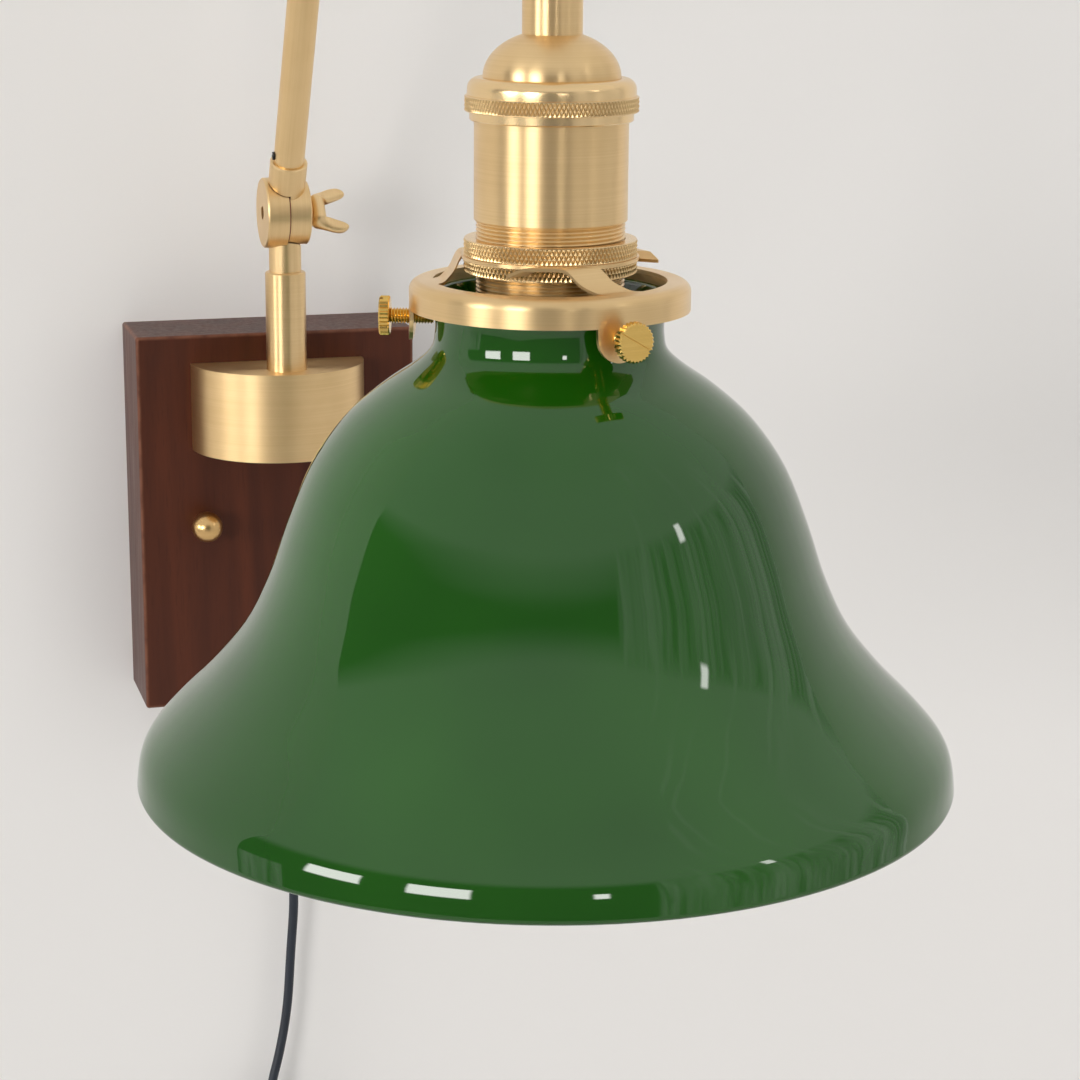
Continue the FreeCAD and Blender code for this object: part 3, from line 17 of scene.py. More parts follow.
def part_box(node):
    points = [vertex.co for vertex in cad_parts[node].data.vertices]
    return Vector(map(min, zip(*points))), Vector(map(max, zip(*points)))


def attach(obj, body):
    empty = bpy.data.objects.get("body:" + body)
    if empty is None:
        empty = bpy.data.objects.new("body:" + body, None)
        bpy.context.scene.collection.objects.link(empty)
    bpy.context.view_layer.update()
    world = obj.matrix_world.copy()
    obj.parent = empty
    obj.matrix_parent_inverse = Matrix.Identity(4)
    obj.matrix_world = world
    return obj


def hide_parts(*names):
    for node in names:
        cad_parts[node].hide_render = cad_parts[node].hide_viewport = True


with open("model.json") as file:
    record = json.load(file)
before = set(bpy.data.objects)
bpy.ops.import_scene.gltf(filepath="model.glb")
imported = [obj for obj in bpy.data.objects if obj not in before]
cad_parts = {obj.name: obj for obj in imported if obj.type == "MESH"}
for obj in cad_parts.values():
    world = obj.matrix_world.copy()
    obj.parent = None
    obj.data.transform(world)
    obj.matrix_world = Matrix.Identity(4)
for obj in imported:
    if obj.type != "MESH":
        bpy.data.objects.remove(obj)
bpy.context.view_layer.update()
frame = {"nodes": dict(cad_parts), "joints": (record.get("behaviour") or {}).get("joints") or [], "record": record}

MM = 0.001
X_AXIS, Y_AXIS, Z_AXIS = Vector((1, 0, 0)), Vector((0, 1, 0)), Vector((0, 0, 1))

# %% [markdown]
# ## Places that the frame gives
# A replacement has to sit exactly where its CAD node sits. So the axes and heights are read from
# the boxes of the nodes, and not typed in again.

# %% Read the main places


def middle(node):
    """The middle of a node's box."""
    low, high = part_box(node)
    return (low + high) / 2


LAMP = Vector((middle("collar_ring").x, middle("collar_ring").y, 0))
JOINTS = {joint["name"]: joint for joint in frame["joints"]}
TILT = Vector(JOINTS["arm_tilt"]["pos_m"])
print("lamp axis", tuple(LAMP), "tilt axis", tuple(TILT))

# %% [markdown]
# ## The camera
# The photograph was taken from the left of the lamp, a little above it, with a short telephoto
# lens. The place and the angles come from a fit of straight edges and round rims in the picture.

# %% Place the camera
CAMERA_AT = Vector((-186.93, -1027.11, 245.60)) * MM
LENS, SENSOR = 86.29, 36.0
PITCH_DOWN, YAW_RIGHT, ROLL = radians(14.21), radians(16.62), radians(0.49)

camera_data = bpy.data.cameras.new("photo_camera")
camera_data.lens = LENS
camera_data.sensor_width = SENSOR
camera = bpy.data.objects.new("photo_camera", camera_data)
turn = Matrix.Rotation(-YAW_RIGHT, 4, "Z") @ Matrix.Rotation(pi / 2 - PITCH_DOWN, 4, "X")
camera.matrix_world = Matrix.Translation(CAMERA_AT) @ turn @ Matrix.Rotation(ROLL, 4, "Z")
bpy.context.scene.collection.objects.link(camera)
bpy.context.scene.camera = camera
print("camera looks along", tuple(round(c, 3) for c in camera.matrix_world.to_3x3() @ -Z_AXIS))

# %% [markdown]
# ## A short way to write node trees
# The light of the room and all the finishes are node trees. A small class adds nodes, joins them
# and feeds them values, so that each tree below stays short enough to read.

# %% Helpers for node trees


class Graph:
    """Adds and joins nodes in one tree."""

    def __init__(self, tree):
        self.tree = tree

    def end(self, kind):
        """One of the two end nodes of a group."""
        return self.tree.nodes.new(kind)

    def add(self, kind, **settings):
        """A shader node with its settings."""
        node = self.tree.nodes.new("ShaderNode" + kind)
        for key, value in settings.items():
            setattr(node, key, value)
        return node

    def join(self, source, target):
        self.tree.links.new(source, target)

    def feed(self, socket, value):
        """A socket takes either another socket or a plain value."""
        if isinstance(value, bpy.types.NodeSocket):
            self.join(value, socket)
        else:
            socket.default_value = value

    def math(self, operation, a, b=0.5):
        node = self.add("Math", operation=operation)
        self.feed(node.inputs[0], a)
        self.feed(node.inputs[1], b)
        return node.outputs[0]

    def noise(self, vector, scale, detail=2.0, roughness=0.5, distortion=0.0):
        node = self.add("TexNoise")
        self.feed(node.inputs["Vector"], vector)
        for name, value in (("Scale", scale), ("Detail", detail), ("Roughness", roughness),
                            ("Distortion", distortion)):
            self.feed(node.inputs[name], value)
        return node.outputs["Fac"]

    def stretch(self, vector, scale=(1, 1, 1), turned=(0, 0, 0), moved=(0, 0, 0)):
        """A position that is scaled, turned and moved."""
        node = self.add("Mapping")
        self.feed(node.inputs["Vector"], vector)
        node.inputs["Location"].default_value = moved
        node.inputs["Rotation"].default_value = turned
        node.inputs["Scale"].default_value = scale
        return node.outputs[0]

    def ramp(self, value, low, high, to_low=0.0, to_high=1.0):
        """Maps low..high to to_low..to_high and clamps."""
        node = self.add("MapRange")
        for socket, v in zip(node.inputs, (value, low, high, to_low, to_high)):
            self.feed(socket, v)
        return node.outputs[0]

    def mix(self, share, a, b):
        """Mixes two colours."""
        node = self.add("Mix", data_type="RGBA")
        self.feed(node.inputs["Factor"], share)
        self.feed(node.inputs["A"], (*a, 1) if isinstance(a, tuple) else a)
        self.feed(node.inputs["B"], (*b, 1) if isinstance(b, tuple) else b)
        return node.outputs["Result"]


def group(name, inputs, outputs):
    """An empty node group, its graph and its two end nodes."""
    tree = bpy.data.node_groups.new(name, "ShaderNodeTree")
    for label, kind, default in inputs:
        socket = tree.interface.new_socket(label, in_out="INPUT", socket_type="NodeSocket" + kind)
        if default is not None:
            socket.default_value = default
    for label, kind in outputs:
        tree.interface.new_socket(label, in_out="OUTPUT", socket_type="NodeSocket" + kind)
    graph = Graph(tree)
    return tree, graph, graph.end("NodeGroupInput"), graph.end("NodeGroupOutput")


print("node helpers ready")

# %% [markdown]
# ## The cord's route
# The cord is settled before the other pieces, because it is the one thing that isn't turned on a
# lathe. It leaves the block's foot, hangs close to the wall, passes the switch and is wound in a
# coil below. A NURBS line with a few listed points gives the soft, heavy curve of a real
# cord. Points sampled from arcs would look like bent wire.

# %% Route points in millimetres
CORD_THICK = 4.0
UPPER_ROUTE = [(0, -19, -79), (0, -19, -97), (3, -15.5, -121), (7.5, -11.5, -147), (9.3, -9, -173),
               (7.2, -8, -200), (5.6, -8.2, -224), (1.5, -9, -245), (-3, -10, -260), (-3, -10, -270)]
LOWER_START = [(-3, -10, -320), (-3, -10, -331), (-6, -7.2, -342), (-11.25, -7.2, -351.093)]
TAIL_STEPS = [(0, 0, 0), (4.65, 0, -9.97), (7.25, 4.5, -21.87), (7.25, 4.5, -32.87)]
print(len(UPPER_ROUTE) + len(LOWER_START) + len(TAIL_STEPS), "points placed by hand")

# %% [markdown]
# ### The coil
# The spare length is wound round and round in four layers, each layer going in or out by a few
# turns. A loop sets 24 points in each turn. A quadratic NURBS line cuts a little inside its
# points, so they stand slightly outside the radius that the cord really has.

# %% Wind the coil
COIL_CENTRE = (11.43, -368.807)
COIL_OUTER, COIL_INNER, COIL_LAYER = 28.5, 16.383, 4.8
COIL_START, LAYER_TURNS, LAYERS = 150.0, 2.16319, 4
COIL_EXIT = (-12.708, -21.6, -384.477)
TURN_POINTS = 24
OUTSIDE = 1.006


def coil_point(angle, radius, depth):
    """A route point at an angle in degrees round the coil's axis."""
    swing = radians(angle)
    return (COIL_CENTRE[0] + cos(swing) * radius * OUTSIDE, depth,
            COIL_CENTRE[1] + sin(swing) * radius * OUTSIDE)


def coil_points():
    """Points in and out along four layers, with half a turn between two layers to climb."""
    points, steps, climb_steps = [], round(LAYER_TURNS * TURN_POINTS), TURN_POINTS // 2
    for layer in range(LAYERS):
        depth = LOWER_START[-1][1] - layer * COIL_LAYER
        begin, end = (COIL_OUTER, COIL_INNER) if layer % 2 == 0 else (COIL_INNER, COIL_OUTER)
        first = COIL_START + layer * (360 * LAYER_TURNS + 180)
        for step in range(1 if layer == 0 else 0, steps + 1):
            share = step / steps
            radius = begin + (end - begin) * share
            points.append(coil_point(first + 360 * LAYER_TURNS * share, radius, depth))
        if layer < LAYERS - 1:
            last = first + 360 * LAYER_TURNS
            for step in range(1, climb_steps):
                share = step / climb_steps
                climb = share * share * (3 - 2 * share)
                points.append(coil_point(last + 180 * share, end, depth - COIL_LAYER * climb))
    return points


TAIL_ROUTE = [tuple(a + b for a, b in zip(COIL_EXIT, step)) for step in TAIL_STEPS]
LOWER_ROUTE = LOWER_START + coil_points() + TAIL_ROUTE
print(len(UPPER_ROUTE), "and", len(LOWER_ROUTE), "points")

# %% [markdown]
# ## Wall, floor and light
# The lamp hangs on a pale painted wall, with a pale floor below. Both are a backdrop. The wall
# ends 1.7 m to the left, because its edge is what the left side of the glass mirrors. A camera that
# stands behind one of them looks through it, so that the lamp's back and underside show too.

# %% Build the backdrop


def backdrop_material(name, colour, roughness):
    """A plain colour in front, and clear to a camera behind it."""
    material = bpy.data.materials.new(name)
    material.use_nodes = True
    graph = Graph(material.node_tree)
    shader = material.node_tree.nodes["Principled BSDF"]
    shader.inputs["Base Color"].default_value = (*colour, 1)
    shader.inputs["Roughness"].default_value = roughness
    from_behind = graph.math("MULTIPLY", graph.add("NewGeometry").outputs["Backfacing"],
                             graph.add("LightPath").outputs["Is Camera Ray"])
    either = graph.add("MixShader")
    graph.join(from_behind, either.inputs[0])
    graph.join(shader.outputs[0], either.inputs[1])
    graph.join(graph.add("BsdfTransparent").outputs[0], either.inputs[2])
    graph.join(either.outputs[0], material.node_tree.nodes["Material Output"].inputs["Surface"])
    return material


WALL_COLOUR, FLOOR_COLOUR, MATT = (0.80, 0.785, 0.77), (0.74, 0.73, 0.72), 0.9
WALL_LEFT, WALL_RIGHT, WALL_TOP, WALL_GAP = -1.72, 4.0, 1.22, 0.0004
FLOOR_Z, FLOOR_HALF = -1.1, 4.0


def backdrop(name, colour, wide, deep, matrix):
    """A flat rectangle that belongs to the room and not to the lamp."""
    bm = bmesh.new()
    bmesh.ops.create_grid(bm, x_segments=1, y_segments=1, size=0.5)
    bmesh.ops.scale(bm, vec=(wide, deep, 1), verts=bm.verts)
    bmesh.ops.transform(bm, matrix=matrix, verts=bm.verts)
    mesh = bpy.data.meshes.new(name)
    bm.to_mesh(mesh)
    bm.free()
    obj = bpy.data.objects.new(name, mesh)
    obj.data.materials.append(backdrop_material(name, colour, MATT))
    bpy.context.scene.collection.objects.link(obj)


middle_of_wall = ((WALL_LEFT + WALL_RIGHT) / 2, WALL_GAP, (WALL_TOP + FLOOR_Z) / 2)
backdrop("wall", WALL_COLOUR, WALL_RIGHT - WALL_LEFT, WALL_TOP - FLOOR_Z,
         Matrix.Translation(middle_of_wall) @ Matrix.Rotation(pi / 2, 4, "X"))
backdrop("floor", FLOOR_COLOUR, 2 * FLOOR_HALF, 2 * FLOOR_HALF, Matrix.Translation((0, 0, FLOOR_Z)))
print("wall at y =", WALL_GAP, "floor at z =", FLOOR_Z)

# %% [markdown]
# ### Broad lamps
# Broad panels give the soft daylight. Glossy glass would show their outlines as hard rectangles,
# so they are hidden from reflections. What the glass and the brass mirror comes from the world.

# %% Hang the light panels


def panel(name, at, width, height, watts):
    """A rectangular lamp that faces the wall light."""
    light = bpy.data.lights.new(name, "AREA")
    light.shape = "RECTANGLE"
    light.size, light.size_y = width, height
    light.energy = watts
    obj = bpy.data.objects.new(name, light)
    facing = (LAMP - Vector(at)).to_track_quat("-Z", "Y")
    obj.matrix_world = Matrix.Translation(at) @ facing.to_matrix().to_4x4()
    obj.visible_glossy = False
    bpy.context.scene.collection.objects.link(obj)
    print(f"{name}: {watts} W")


panel("window_left", (-1.9, -1.6, 0.6), 1.8, 1.9, 7)
panel("window_right", (1.7, -1.7, 0.5), 1.4, 1.9, 4)
panel("ceiling", (0, -1.3, 2.1), 2.8, 1.8, 4.5)

# %% [markdown]
# ### The room that the lamp mirrors
# The world is a simple room, painted by direction: a dim middle, a pale ceiling, a curtain with
# soft folds on the right, and four small bright windows. The directions come from the photograph:
# a ray from the camera to a highlight is mirrored at the glass, and where it goes is where the
# window must be. The camera itself sees a plain pale room.

# %% Brightness and places in the room
ROOM, CEILING, ZENITH, CURTAIN = 0.19, 0.78, 0.72, 0.72
CEILING_FROM, ZENITH_FROM = (21, 29), (54, 72)              # degrees above level
CURTAIN_TOP, CURTAIN_END = (2.7, 3.3), (4.1, 4.7)           # rise and depth, for each step right
FOLD_WIDE, FOLD_TALL, FOLD_SHADE = 0.22, 0.012, (0.42, 1.25)
WINDOWS = [(-172.5, -156, 1, 13.5, 12), (-143, -126, 1, 14, 12),
           (-94, -90, 4, 11, 12), (-42.5, -39.5, 24, 30, 8)]    # west, east, low, high, glow
SOFT_EDGE = 0.5
DAYLIGHT, SEEN_ROOM = (1.0, 0.985, 0.965), (0.80, 0.79, 0.78)

# %% Paint the room
world = bpy.data.worlds.new("studio")
world.use_nodes = True
room = Graph(world.node_tree)
way = room.add("SeparateXYZ")
room.join(room.add("TexCoord").outputs["Generated"], way.inputs[0])
azimuth = room.math("DEGREES", room.math("ARCTAN2", way.outputs["Y"], way.outputs["X"]))
height = room.math("DEGREES", room.math("ARCSINE", way.outputs["Z"]))


def between(value, low, high):
    """1 from low to high, 0 outside, with soft edges."""
    return room.math("MULTIPLY", room.ramp(value, low - SOFT_EDGE, low + SOFT_EDGE),
                     room.ramp(value, high - SOFT_EDGE, high + SOFT_EDGE, 1.0, 0.0))


level = room.math("ADD", room.ramp(height, *CEILING_FROM, ROOM, CEILING),
                  room.ramp(height, *ZENITH_FROM, 0.0, ZENITH - CEILING))
step_right = room.math("MAXIMUM", way.outputs["X"], 0.001)
rise = room.math("DIVIDE", way.outputs["Z"], step_right)
depth = room.math("DIVIDE", room.math("MULTIPLY", way.outputs["Y"], -1.0), step_right)
in_curtain = room.math("MULTIPLY", room.ramp(rise, *CURTAIN_TOP, 1.0, 0.0),
                       room.ramp(depth, *CURTAIN_END, 1.0, 0.0))
folds = room.add("CombineXYZ")
room.feed(folds.inputs["X"], room.math("MULTIPLY", azimuth, FOLD_WIDE))
room.feed(folds.inputs["Y"], room.math("MULTIPLY", height, FOLD_TALL))
fold_light = room.ramp(room.noise(folds.outputs[0], 1.0, 4.0, 0.6, 0.8), 0.36, 0.64, *FOLD_SHADE)
curtain = room.math("MULTIPLY", in_curtain, fold_light)
level = room.math("MAXIMUM", level, room.math("MULTIPLY", curtain, CURTAIN))
for west, east, low, high, glow in WINDOWS:
    pane = room.math("MULTIPLY", between(azimuth, west, east), between(height, low, high))
    level = room.math("ADD", level, room.math("MULTIPLY", pane, glow))
sees = room.add("LightPath").outputs["Is Camera Ray"]
background = world.node_tree.nodes["Background"]
room.join(room.mix(sees, DAYLIGHT, SEEN_ROOM), background.inputs["Color"])
room.join(room.mix(sees, level, (1.0, 1.0, 1.0)), background.inputs["Strength"])
bpy.context.scene.world = world
bpy.context.scene.view_settings.view_transform = "Standard"
print(len(WINDOWS), "windows in the room")

# %% [markdown]
# ## Effects that several finishes share
# A node group is built once and used by many materials. Each group takes a position and gives
# back masks and heights. The shader itself stays in the material.

# %% [markdown]
# ### Turned lines
# Brass that was turned on a lathe and then brushed carries fine lines round its axis. Noise that
# is squeezed along one direction gives them. A slow second noise makes some patches duller, as
# handling does.

# %% Group: turned lines
ROUND_SCALE = 12.0      # how fast the noise changes round the axis
turned_lines, g, g_in, g_out = group(
    "turned_lines",
    [("Position", "Vector", None), ("Line Scale", "Float", 900.0), ("Patch Scale", "Float", 45.0)],
    [("Lines", "Float"), ("Patches", "Float")])
split = g.add("SeparateXYZ")
g.join(g_in.outputs["Position"], split.inputs[0])
across = g.add("CombineXYZ")
for axis in ("X", "Y"):
    g.feed(across.inputs[axis], g.math("MULTIPLY", split.outputs[axis], ROUND_SCALE))
g.feed(across.inputs["Z"], g.math("MULTIPLY", split.outputs["Z"], g_in.outputs["Line Scale"]))
fine = g.noise(across.outputs[0], 1.0, 3.0, 0.65)
coarse = g.noise(across.outputs[0], 0.23, 2.0, 0.5)
both = g.math("ADD", g.math("MULTIPLY", fine, 0.65), g.math("MULTIPLY", coarse, 0.35))
g.join(both, g_out.inputs["Lines"])
patches = g.noise(g_in.outputs["Position"], g_in.outputs["Patch Scale"], 3.0, 0.55)
g.join(g.ramp(patches, 0.35, 0.68), g_out.inputs["Patches"])
print("turned lines:", len(turned_lines.nodes), "nodes")

# %% [markdown]
# ### Fine grain
# Moulded plastic, porcelain and plated steel aren't perfectly smooth. A very small noise for the
# bump and a larger one for the gloss is enough for them.

# %% Group: fine grain
fine_grain, g, g_in, g_out = group(
    "fine_grain", [("Position", "Vector", None), ("Grain Scale", "Float", 1500.0)],
    [("Grain", "Float"), ("Patches", "Float")])
g.join(g.noise(g_in.outputs["Position"], g_in.outputs["Grain Scale"], 2.0, 0.6), g_out.inputs["Grain"])
g.join(g.ramp(g.noise(g_in.outputs["Position"], 60.0, 3.0), 0.35, 0.7), g_out.inputs["Patches"])
print("fine grain:", len(fine_grain.nodes), "nodes")

# %% [markdown]
# ### Wood figure
# Walnut has long pores and slow colour bands along the grain. Both are noise, stretched upright,
# the bands with some distortion so that they wander. A finer noise gives the fibre.

# %% Group: wood figure
wood_figure, g, g_in, g_out = group(
    "wood_figure", [("Position", "Vector", None), ("Stretch", "Float", 0.06)],
    [("Bands", "Float"), ("Pores", "Float"), ("Fibre", "Float")])
split = g.add("SeparateXYZ")
g.join(g_in.outputs["Position"], split.inputs[0])
along = g.add("CombineXYZ")
g.feed(along.inputs["X"], split.outputs["X"])
g.feed(along.inputs["Y"], split.outputs["Y"])
g.feed(along.inputs["Z"], g.math("MULTIPLY", split.outputs["Z"], g_in.outputs["Stretch"]))
g.join(g.ramp(g.noise(along.outputs[0], 75.0, 4.0, 0.55, 0.6), 0.32, 0.7), g_out.inputs["Bands"])
pores = g.noise(along.outputs[0], 1400.0, 2.0, 0.6)
g.join(g.ramp(pores, 0.56, 0.72), g_out.inputs["Pores"])
g.join(g.noise(along.outputs[0], 420.0, 3.0, 0.6, 0.2), g_out.inputs["Fibre"])
print("wood figure:", len(wood_figure.nodes), "nodes")

# %% [markdown]
# ## Finishes
# One material for each slot of the record, and a few more for the brass. A small function makes
# the shader and hands its graph back, so that each finish below only says what is special about it.

# %% Start a finish
finishes = {}


def finish(slot, colour, roughness, metallic=0.0, **plain):
    """A Principled material, its graph, its shader and its object coordinates."""
    material = bpy.data.materials.new(slot)
    material.use_nodes = True
    graph = Graph(material.node_tree)
    shader = material.node_tree.nodes["Principled BSDF"]
    shader.inputs["Base Color"].default_value = (*colour, 1)
    shader.inputs["Roughness"].default_value = roughness
    shader.inputs["Metallic"].default_value = metallic
    for key, value in plain.items():
        shader.inputs[key.replace("_", " ")].default_value = value
    finishes[slot] = material
    return graph, shader, graph.add("TexCoord").outputs["Object"]


def use(graph, tree, position, **values):
    """Places a node group and sets its inputs."""
    node = graph.add("Group", node_tree=tree)
    graph.join(position, node.inputs["Position"])
    for key, value in values.items():
        graph.feed(node.inputs[key.replace("_", " ")], value)
    return node.outputs


def bump(graph, shader, height, strength, distance):
    """Lets a height tilt the surface, by a distance in metres."""
    node = graph.add("Bump")
    graph.feed(node.inputs["Height"], height)
    node.inputs["Strength"].default_value = strength
    node.inputs["Distance"].default_value = distance
    graph.join(node.outputs[0], shader.inputs["Normal"])


# %% [markdown]
# ### Brass
# The lamp is satin brass, pale and a little pink. Lines round an upright axis smear a reflection up
# and down but hardly sideways, which is why turned brass shows upright bands of light. The shader's
# anisotropy does that without a bump. The drum was drawn from sheet and is duller. The knuckle and
# the bent arm have lines in other directions, so they share a material without anisotropy. The
# thumb screws are polished and yellower, and the ball nuts were polished once and are worn.

# %% Satin and polished brass
SATIN, SATIN_DEEP = (0.89, 0.65, 0.35), (0.77, 0.54, 0.265)
POLISHED, POLISHED_DEEP = (0.90, 0.62, 0.20), (0.72, 0.45, 0.11)
WORN_POLISHED, WORN_POLISHED_DEEP = (0.80, 0.53, 0.24), (0.70, 0.44, 0.17)
LINE_SCALE = 2600.0
QUARTER_TURN = {"Anisotropic_Rotation": 0.25}


def brass(slot, light, deep, rough_low, rough_high, turned=(0, 0, 0), **plain):
    """Brass with fine lines round the upright axis, or round the axis that turned gives."""
    graph, shader, position = finish(slot, light, rough_low, 1.0, **plain)
    lines = use(graph, turned_lines, graph.stretch(position, turned=turned), Line_Scale=LINE_SCALE)
    shade = graph.math("ADD", graph.math("MULTIPLY", lines["Patches"], 0.35),
                       graph.ramp(lines["Lines"], 0.3, 0.7, 0.0, 0.65))
    graph.join(graph.mix(shade, light, deep), shader.inputs["Base Color"])
    worn = graph.math("ADD", graph.math("MULTIPLY", lines["Lines"], 0.5),
                      graph.math("MULTIPLY", lines["Patches"], 0.5))
    graph.join(graph.ramp(worn, 0.15, 0.85, rough_low, rough_high), shader.inputs["Roughness"])


brass("satin_brass", SATIN, SATIN_DEEP, 0.32, 0.38, Anisotropic=0.75, **QUARTER_TURN)
brass("satin_brass_drawn", SATIN, SATIN_DEEP, 0.40, 0.46, Anisotropic=0.5, **QUARTER_TURN)
brass("satin_brass_sideways", SATIN, SATIN_DEEP, 0.33, 0.40, (0, pi / 2, 0))
brass("polished_brass", POLISHED, POLISHED_DEEP, 0.16, 0.26)
brass("worn_polished_brass", WORN_POLISHED, WORN_POLISHED_DEEP, 0.26, 0.34)
print("brass:", ", ".join(finishes))

# %% [markdown]
# ### Walnut
# The block is dark, red-brown and evenly lacquered. Its eased edges are painted lighter: partly
# stain worn thin there, partly a painted highlight where the edges catch the light. An edge is
# where two faces are near, so a mask counts the near faces.

# %% Dark walnut
WALNUT_DARK, WALNUT_MID = (0.046, 0.0115, 0.005), (0.086, 0.021, 0.008)
# The lighter edge colour stands for worn stain and a painted highlight.
WALNUT_WORN_SHEEN, EDGE_BAND = (0.17, 0.062, 0.032), 0.0016
graph, shader, position = finish("walnut", WALNUT_MID, 0.42, Specular_IOR_Level=0.25,
                                 Coat_Weight=0.06, Coat_Roughness=0.25)
figure = use(graph, wood_figure, position)
body_colour = graph.mix(figure["Bands"], WALNUT_DARK, WALNUT_MID)
body_colour = graph.mix(graph.math("MULTIPLY", figure["Pores"], 0.55), body_colour, WALNUT_DARK)
block_low, block_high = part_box("wood_backplate")
split = graph.add("SeparateXYZ")
graph.join(position, split.inputs[0])
near_faces = []
for axis in range(3):
    half = (block_high[axis] - block_low[axis]) / 2
    centre = (block_high[axis] + block_low[axis]) / 2
    off = graph.math("ABSOLUTE", graph.math("SUBTRACT", split.outputs[axis], centre))
    near_faces.append(graph.ramp(off, half - EDGE_BAND, half - EDGE_BAND / 4))
faces_near = graph.math("ADD", graph.math("ADD", near_faces[0], near_faces[1]), near_faces[2])
uneven = graph.ramp(graph.noise(position, 160.0, 3.0), 0.3, 0.6, 0.25, 1.0)
# Painted highlight and wear: the colour lightens patchily where two faces of the block are near.
edge = graph.math("MULTIPLY", graph.ramp(faces_near, 1.05, 1.9), uneven)
graph.join(graph.mix(edge, body_colour, WALNUT_WORN_SHEEN), shader.inputs["Base Color"])
graph.join(graph.ramp(figure["Fibre"], 0.3, 0.7, 0.36, 0.50), shader.inputs["Roughness"])
bump(graph, shader, graph.math("SUBTRACT", figure["Fibre"], figure["Pores"]), 0.25, 0.00012)
print("block", [round(c, 4) for c in block_high - block_low])

# %% [markdown]
# ### Glass
# The bell is deep green glass with a glossy skin. It lets so little light through that the bulb
# doesn't show in daylight. Faint streaks run through it where the glass flowed into its mould. The
# bulb is clear, and the insulator in its cap is black glass.

# %% Green and clear glass
GREEN_DEEP, GREEN_MID = (0.006, 0.066, 0.001), (0.011, 0.089, 0.003)
graph, shader, position = finish("green_glass", GREEN_MID, 0.03, IOR=1.60, Transmission_Weight=0.05)
centred = graph.stretch(position, moved=tuple(-c for c in LAMP))
clouds = graph.noise(centred, 14.0, 2.0, 0.5)
graph.join(graph.mix(graph.ramp(clouds, 0.35, 0.65), GREEN_DEEP, GREEN_MID), shader.inputs["Base Color"])
flow = graph.stretch(centred, (34, 34, 5))
bump(graph, shader, graph.noise(flow, 1.0, 2.0, 0.45, 0.8), 0.05, 0.0012)

graph, shader, position = finish("clear_glass", (0.97, 0.98, 0.97), 0.02, IOR=1.48,
                                 Transmission_Weight=1.0)
bump(graph, shader, graph.noise(position, 60.0, 1.0), 0.03, 0.002)

graph, shader, position = finish("black_insulator", (0.008, 0.008, 0.009), 0.12, IOR=1.6)
bump(graph, shader, use(graph, fine_grain, position)["Grain"], 0.15, 0.00005)
print("green glass", GREEN_DEEP, "to", GREEN_MID)

# %% [markdown]
# ### Plated steel, plastic, porcelain and rubber
# The small parts differ in colour and gloss, but all have the same fine grain.

# %% Small parts' finishes
GRAIN_SCALE = 1500.0


def grained(slot, light, deep, rough_low, rough_high, metallic=0.0, height=0.00004, **plain):
    """A finish whose colour and gloss vary a little, with a fine bump."""
    graph, shader, position = finish(slot, light, rough_low, metallic, **plain)
    grain = use(graph, fine_grain, position, Grain_Scale=GRAIN_SCALE)
    graph.join(graph.mix(grain["Patches"], light, deep), shader.inputs["Base Color"])
    graph.join(graph.ramp(grain["Grain"], 0.3, 0.7, rough_low, rough_high), shader.inputs["Roughness"])
    bump(graph, shader, grain["Grain"], 0.4, height)


grained("bracket_steel", (0.60, 0.60, 0.57), (0.50, 0.51, 0.50), 0.32, 0.48, 1.0)
grained("screw_steel", (0.58, 0.58, 0.56), (0.46, 0.47, 0.47), 0.25, 0.40, 1.0)
grained("black_steel", (0.035, 0.033, 0.03), (0.02, 0.02, 0.02), 0.35, 0.5, 0.6)
grained("nickel_sleeve", (0.70, 0.68, 0.62), (0.60, 0.58, 0.52), 0.16, 0.28, 1.0)
grained("fibre", (0.22, 0.05, 0.03), (0.16, 0.035, 0.02), 0.6, 0.8)
grained("black_sheath", (0.020, 0.020, 0.022), (0.014, 0.014, 0.015), 0.45, 0.6)
grained("cord_sheath", (0.012, 0.018, 0.030), (0.008, 0.012, 0.020), 0.40, 0.55)
grained("porcelain", (0.80, 0.78, 0.73), (0.74, 0.72, 0.67), 0.12, 0.22, Coat_Weight=0.3)
grained("filament", (0.80, 0.50, 0.10), (0.72, 0.42, 0.07), 0.5, 0.65)
grained("black_plastic", (0.016, 0.016, 0.018), (0.011, 0.011, 0.012), 0.35, 0.52, height=0.00008)
grained("white_plastic", (0.76, 0.75, 0.71), (0.70, 0.69, 0.65), 0.35, 0.5)
print(len(finishes), "finishes")

# %% [markdown]
# ## Tools for new pieces
# Most of this lamp was turned on a lathe, so the main tool here is a lathe too: a section of a few
# points, spun round an axis. The other tool closes a finished mesh: it merges doubled points, turns
# the faces outwards, keeps sharp edges sharp, and hangs the piece on its body.

# %% Close a mesh and hang it up
ORIGIN = Vector((0, 0, 0))


def finish_mesh(name, bm, crease):
    """A mesh from a bmesh, smooth except at edges sharper than crease degrees."""
    for face in bm.faces:
        face.smooth = True
    for edge in bm.edges:
        edge.smooth = len(edge.link_faces) == 2 and edge.calc_face_angle(0.0) < radians(crease)
    mesh = bpy.data.meshes.new(name)
    bm.to_mesh(mesh)
    bm.free()
    return mesh


def hang(name, data, body, slot, nodes=(), material=None):
    """Links a piece, gives it a finish and lets it ride on its body."""
    obj = bpy.data.objects.new(name, data)
    obj.data.materials.append(material or finishes[slot])
    bpy.context.scene.collection.objects.link(obj)
    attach(obj, body)
    if nodes:
        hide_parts(*nodes)
    return obj


def close(bm):
    """Merges doubled points and turns the faces outwards."""
    bmesh.ops.remove_doubles(bm, verts=bm.verts, dist=1e-6)
    bmesh.ops.recalc_face_normals(bm, faces=bm.faces)


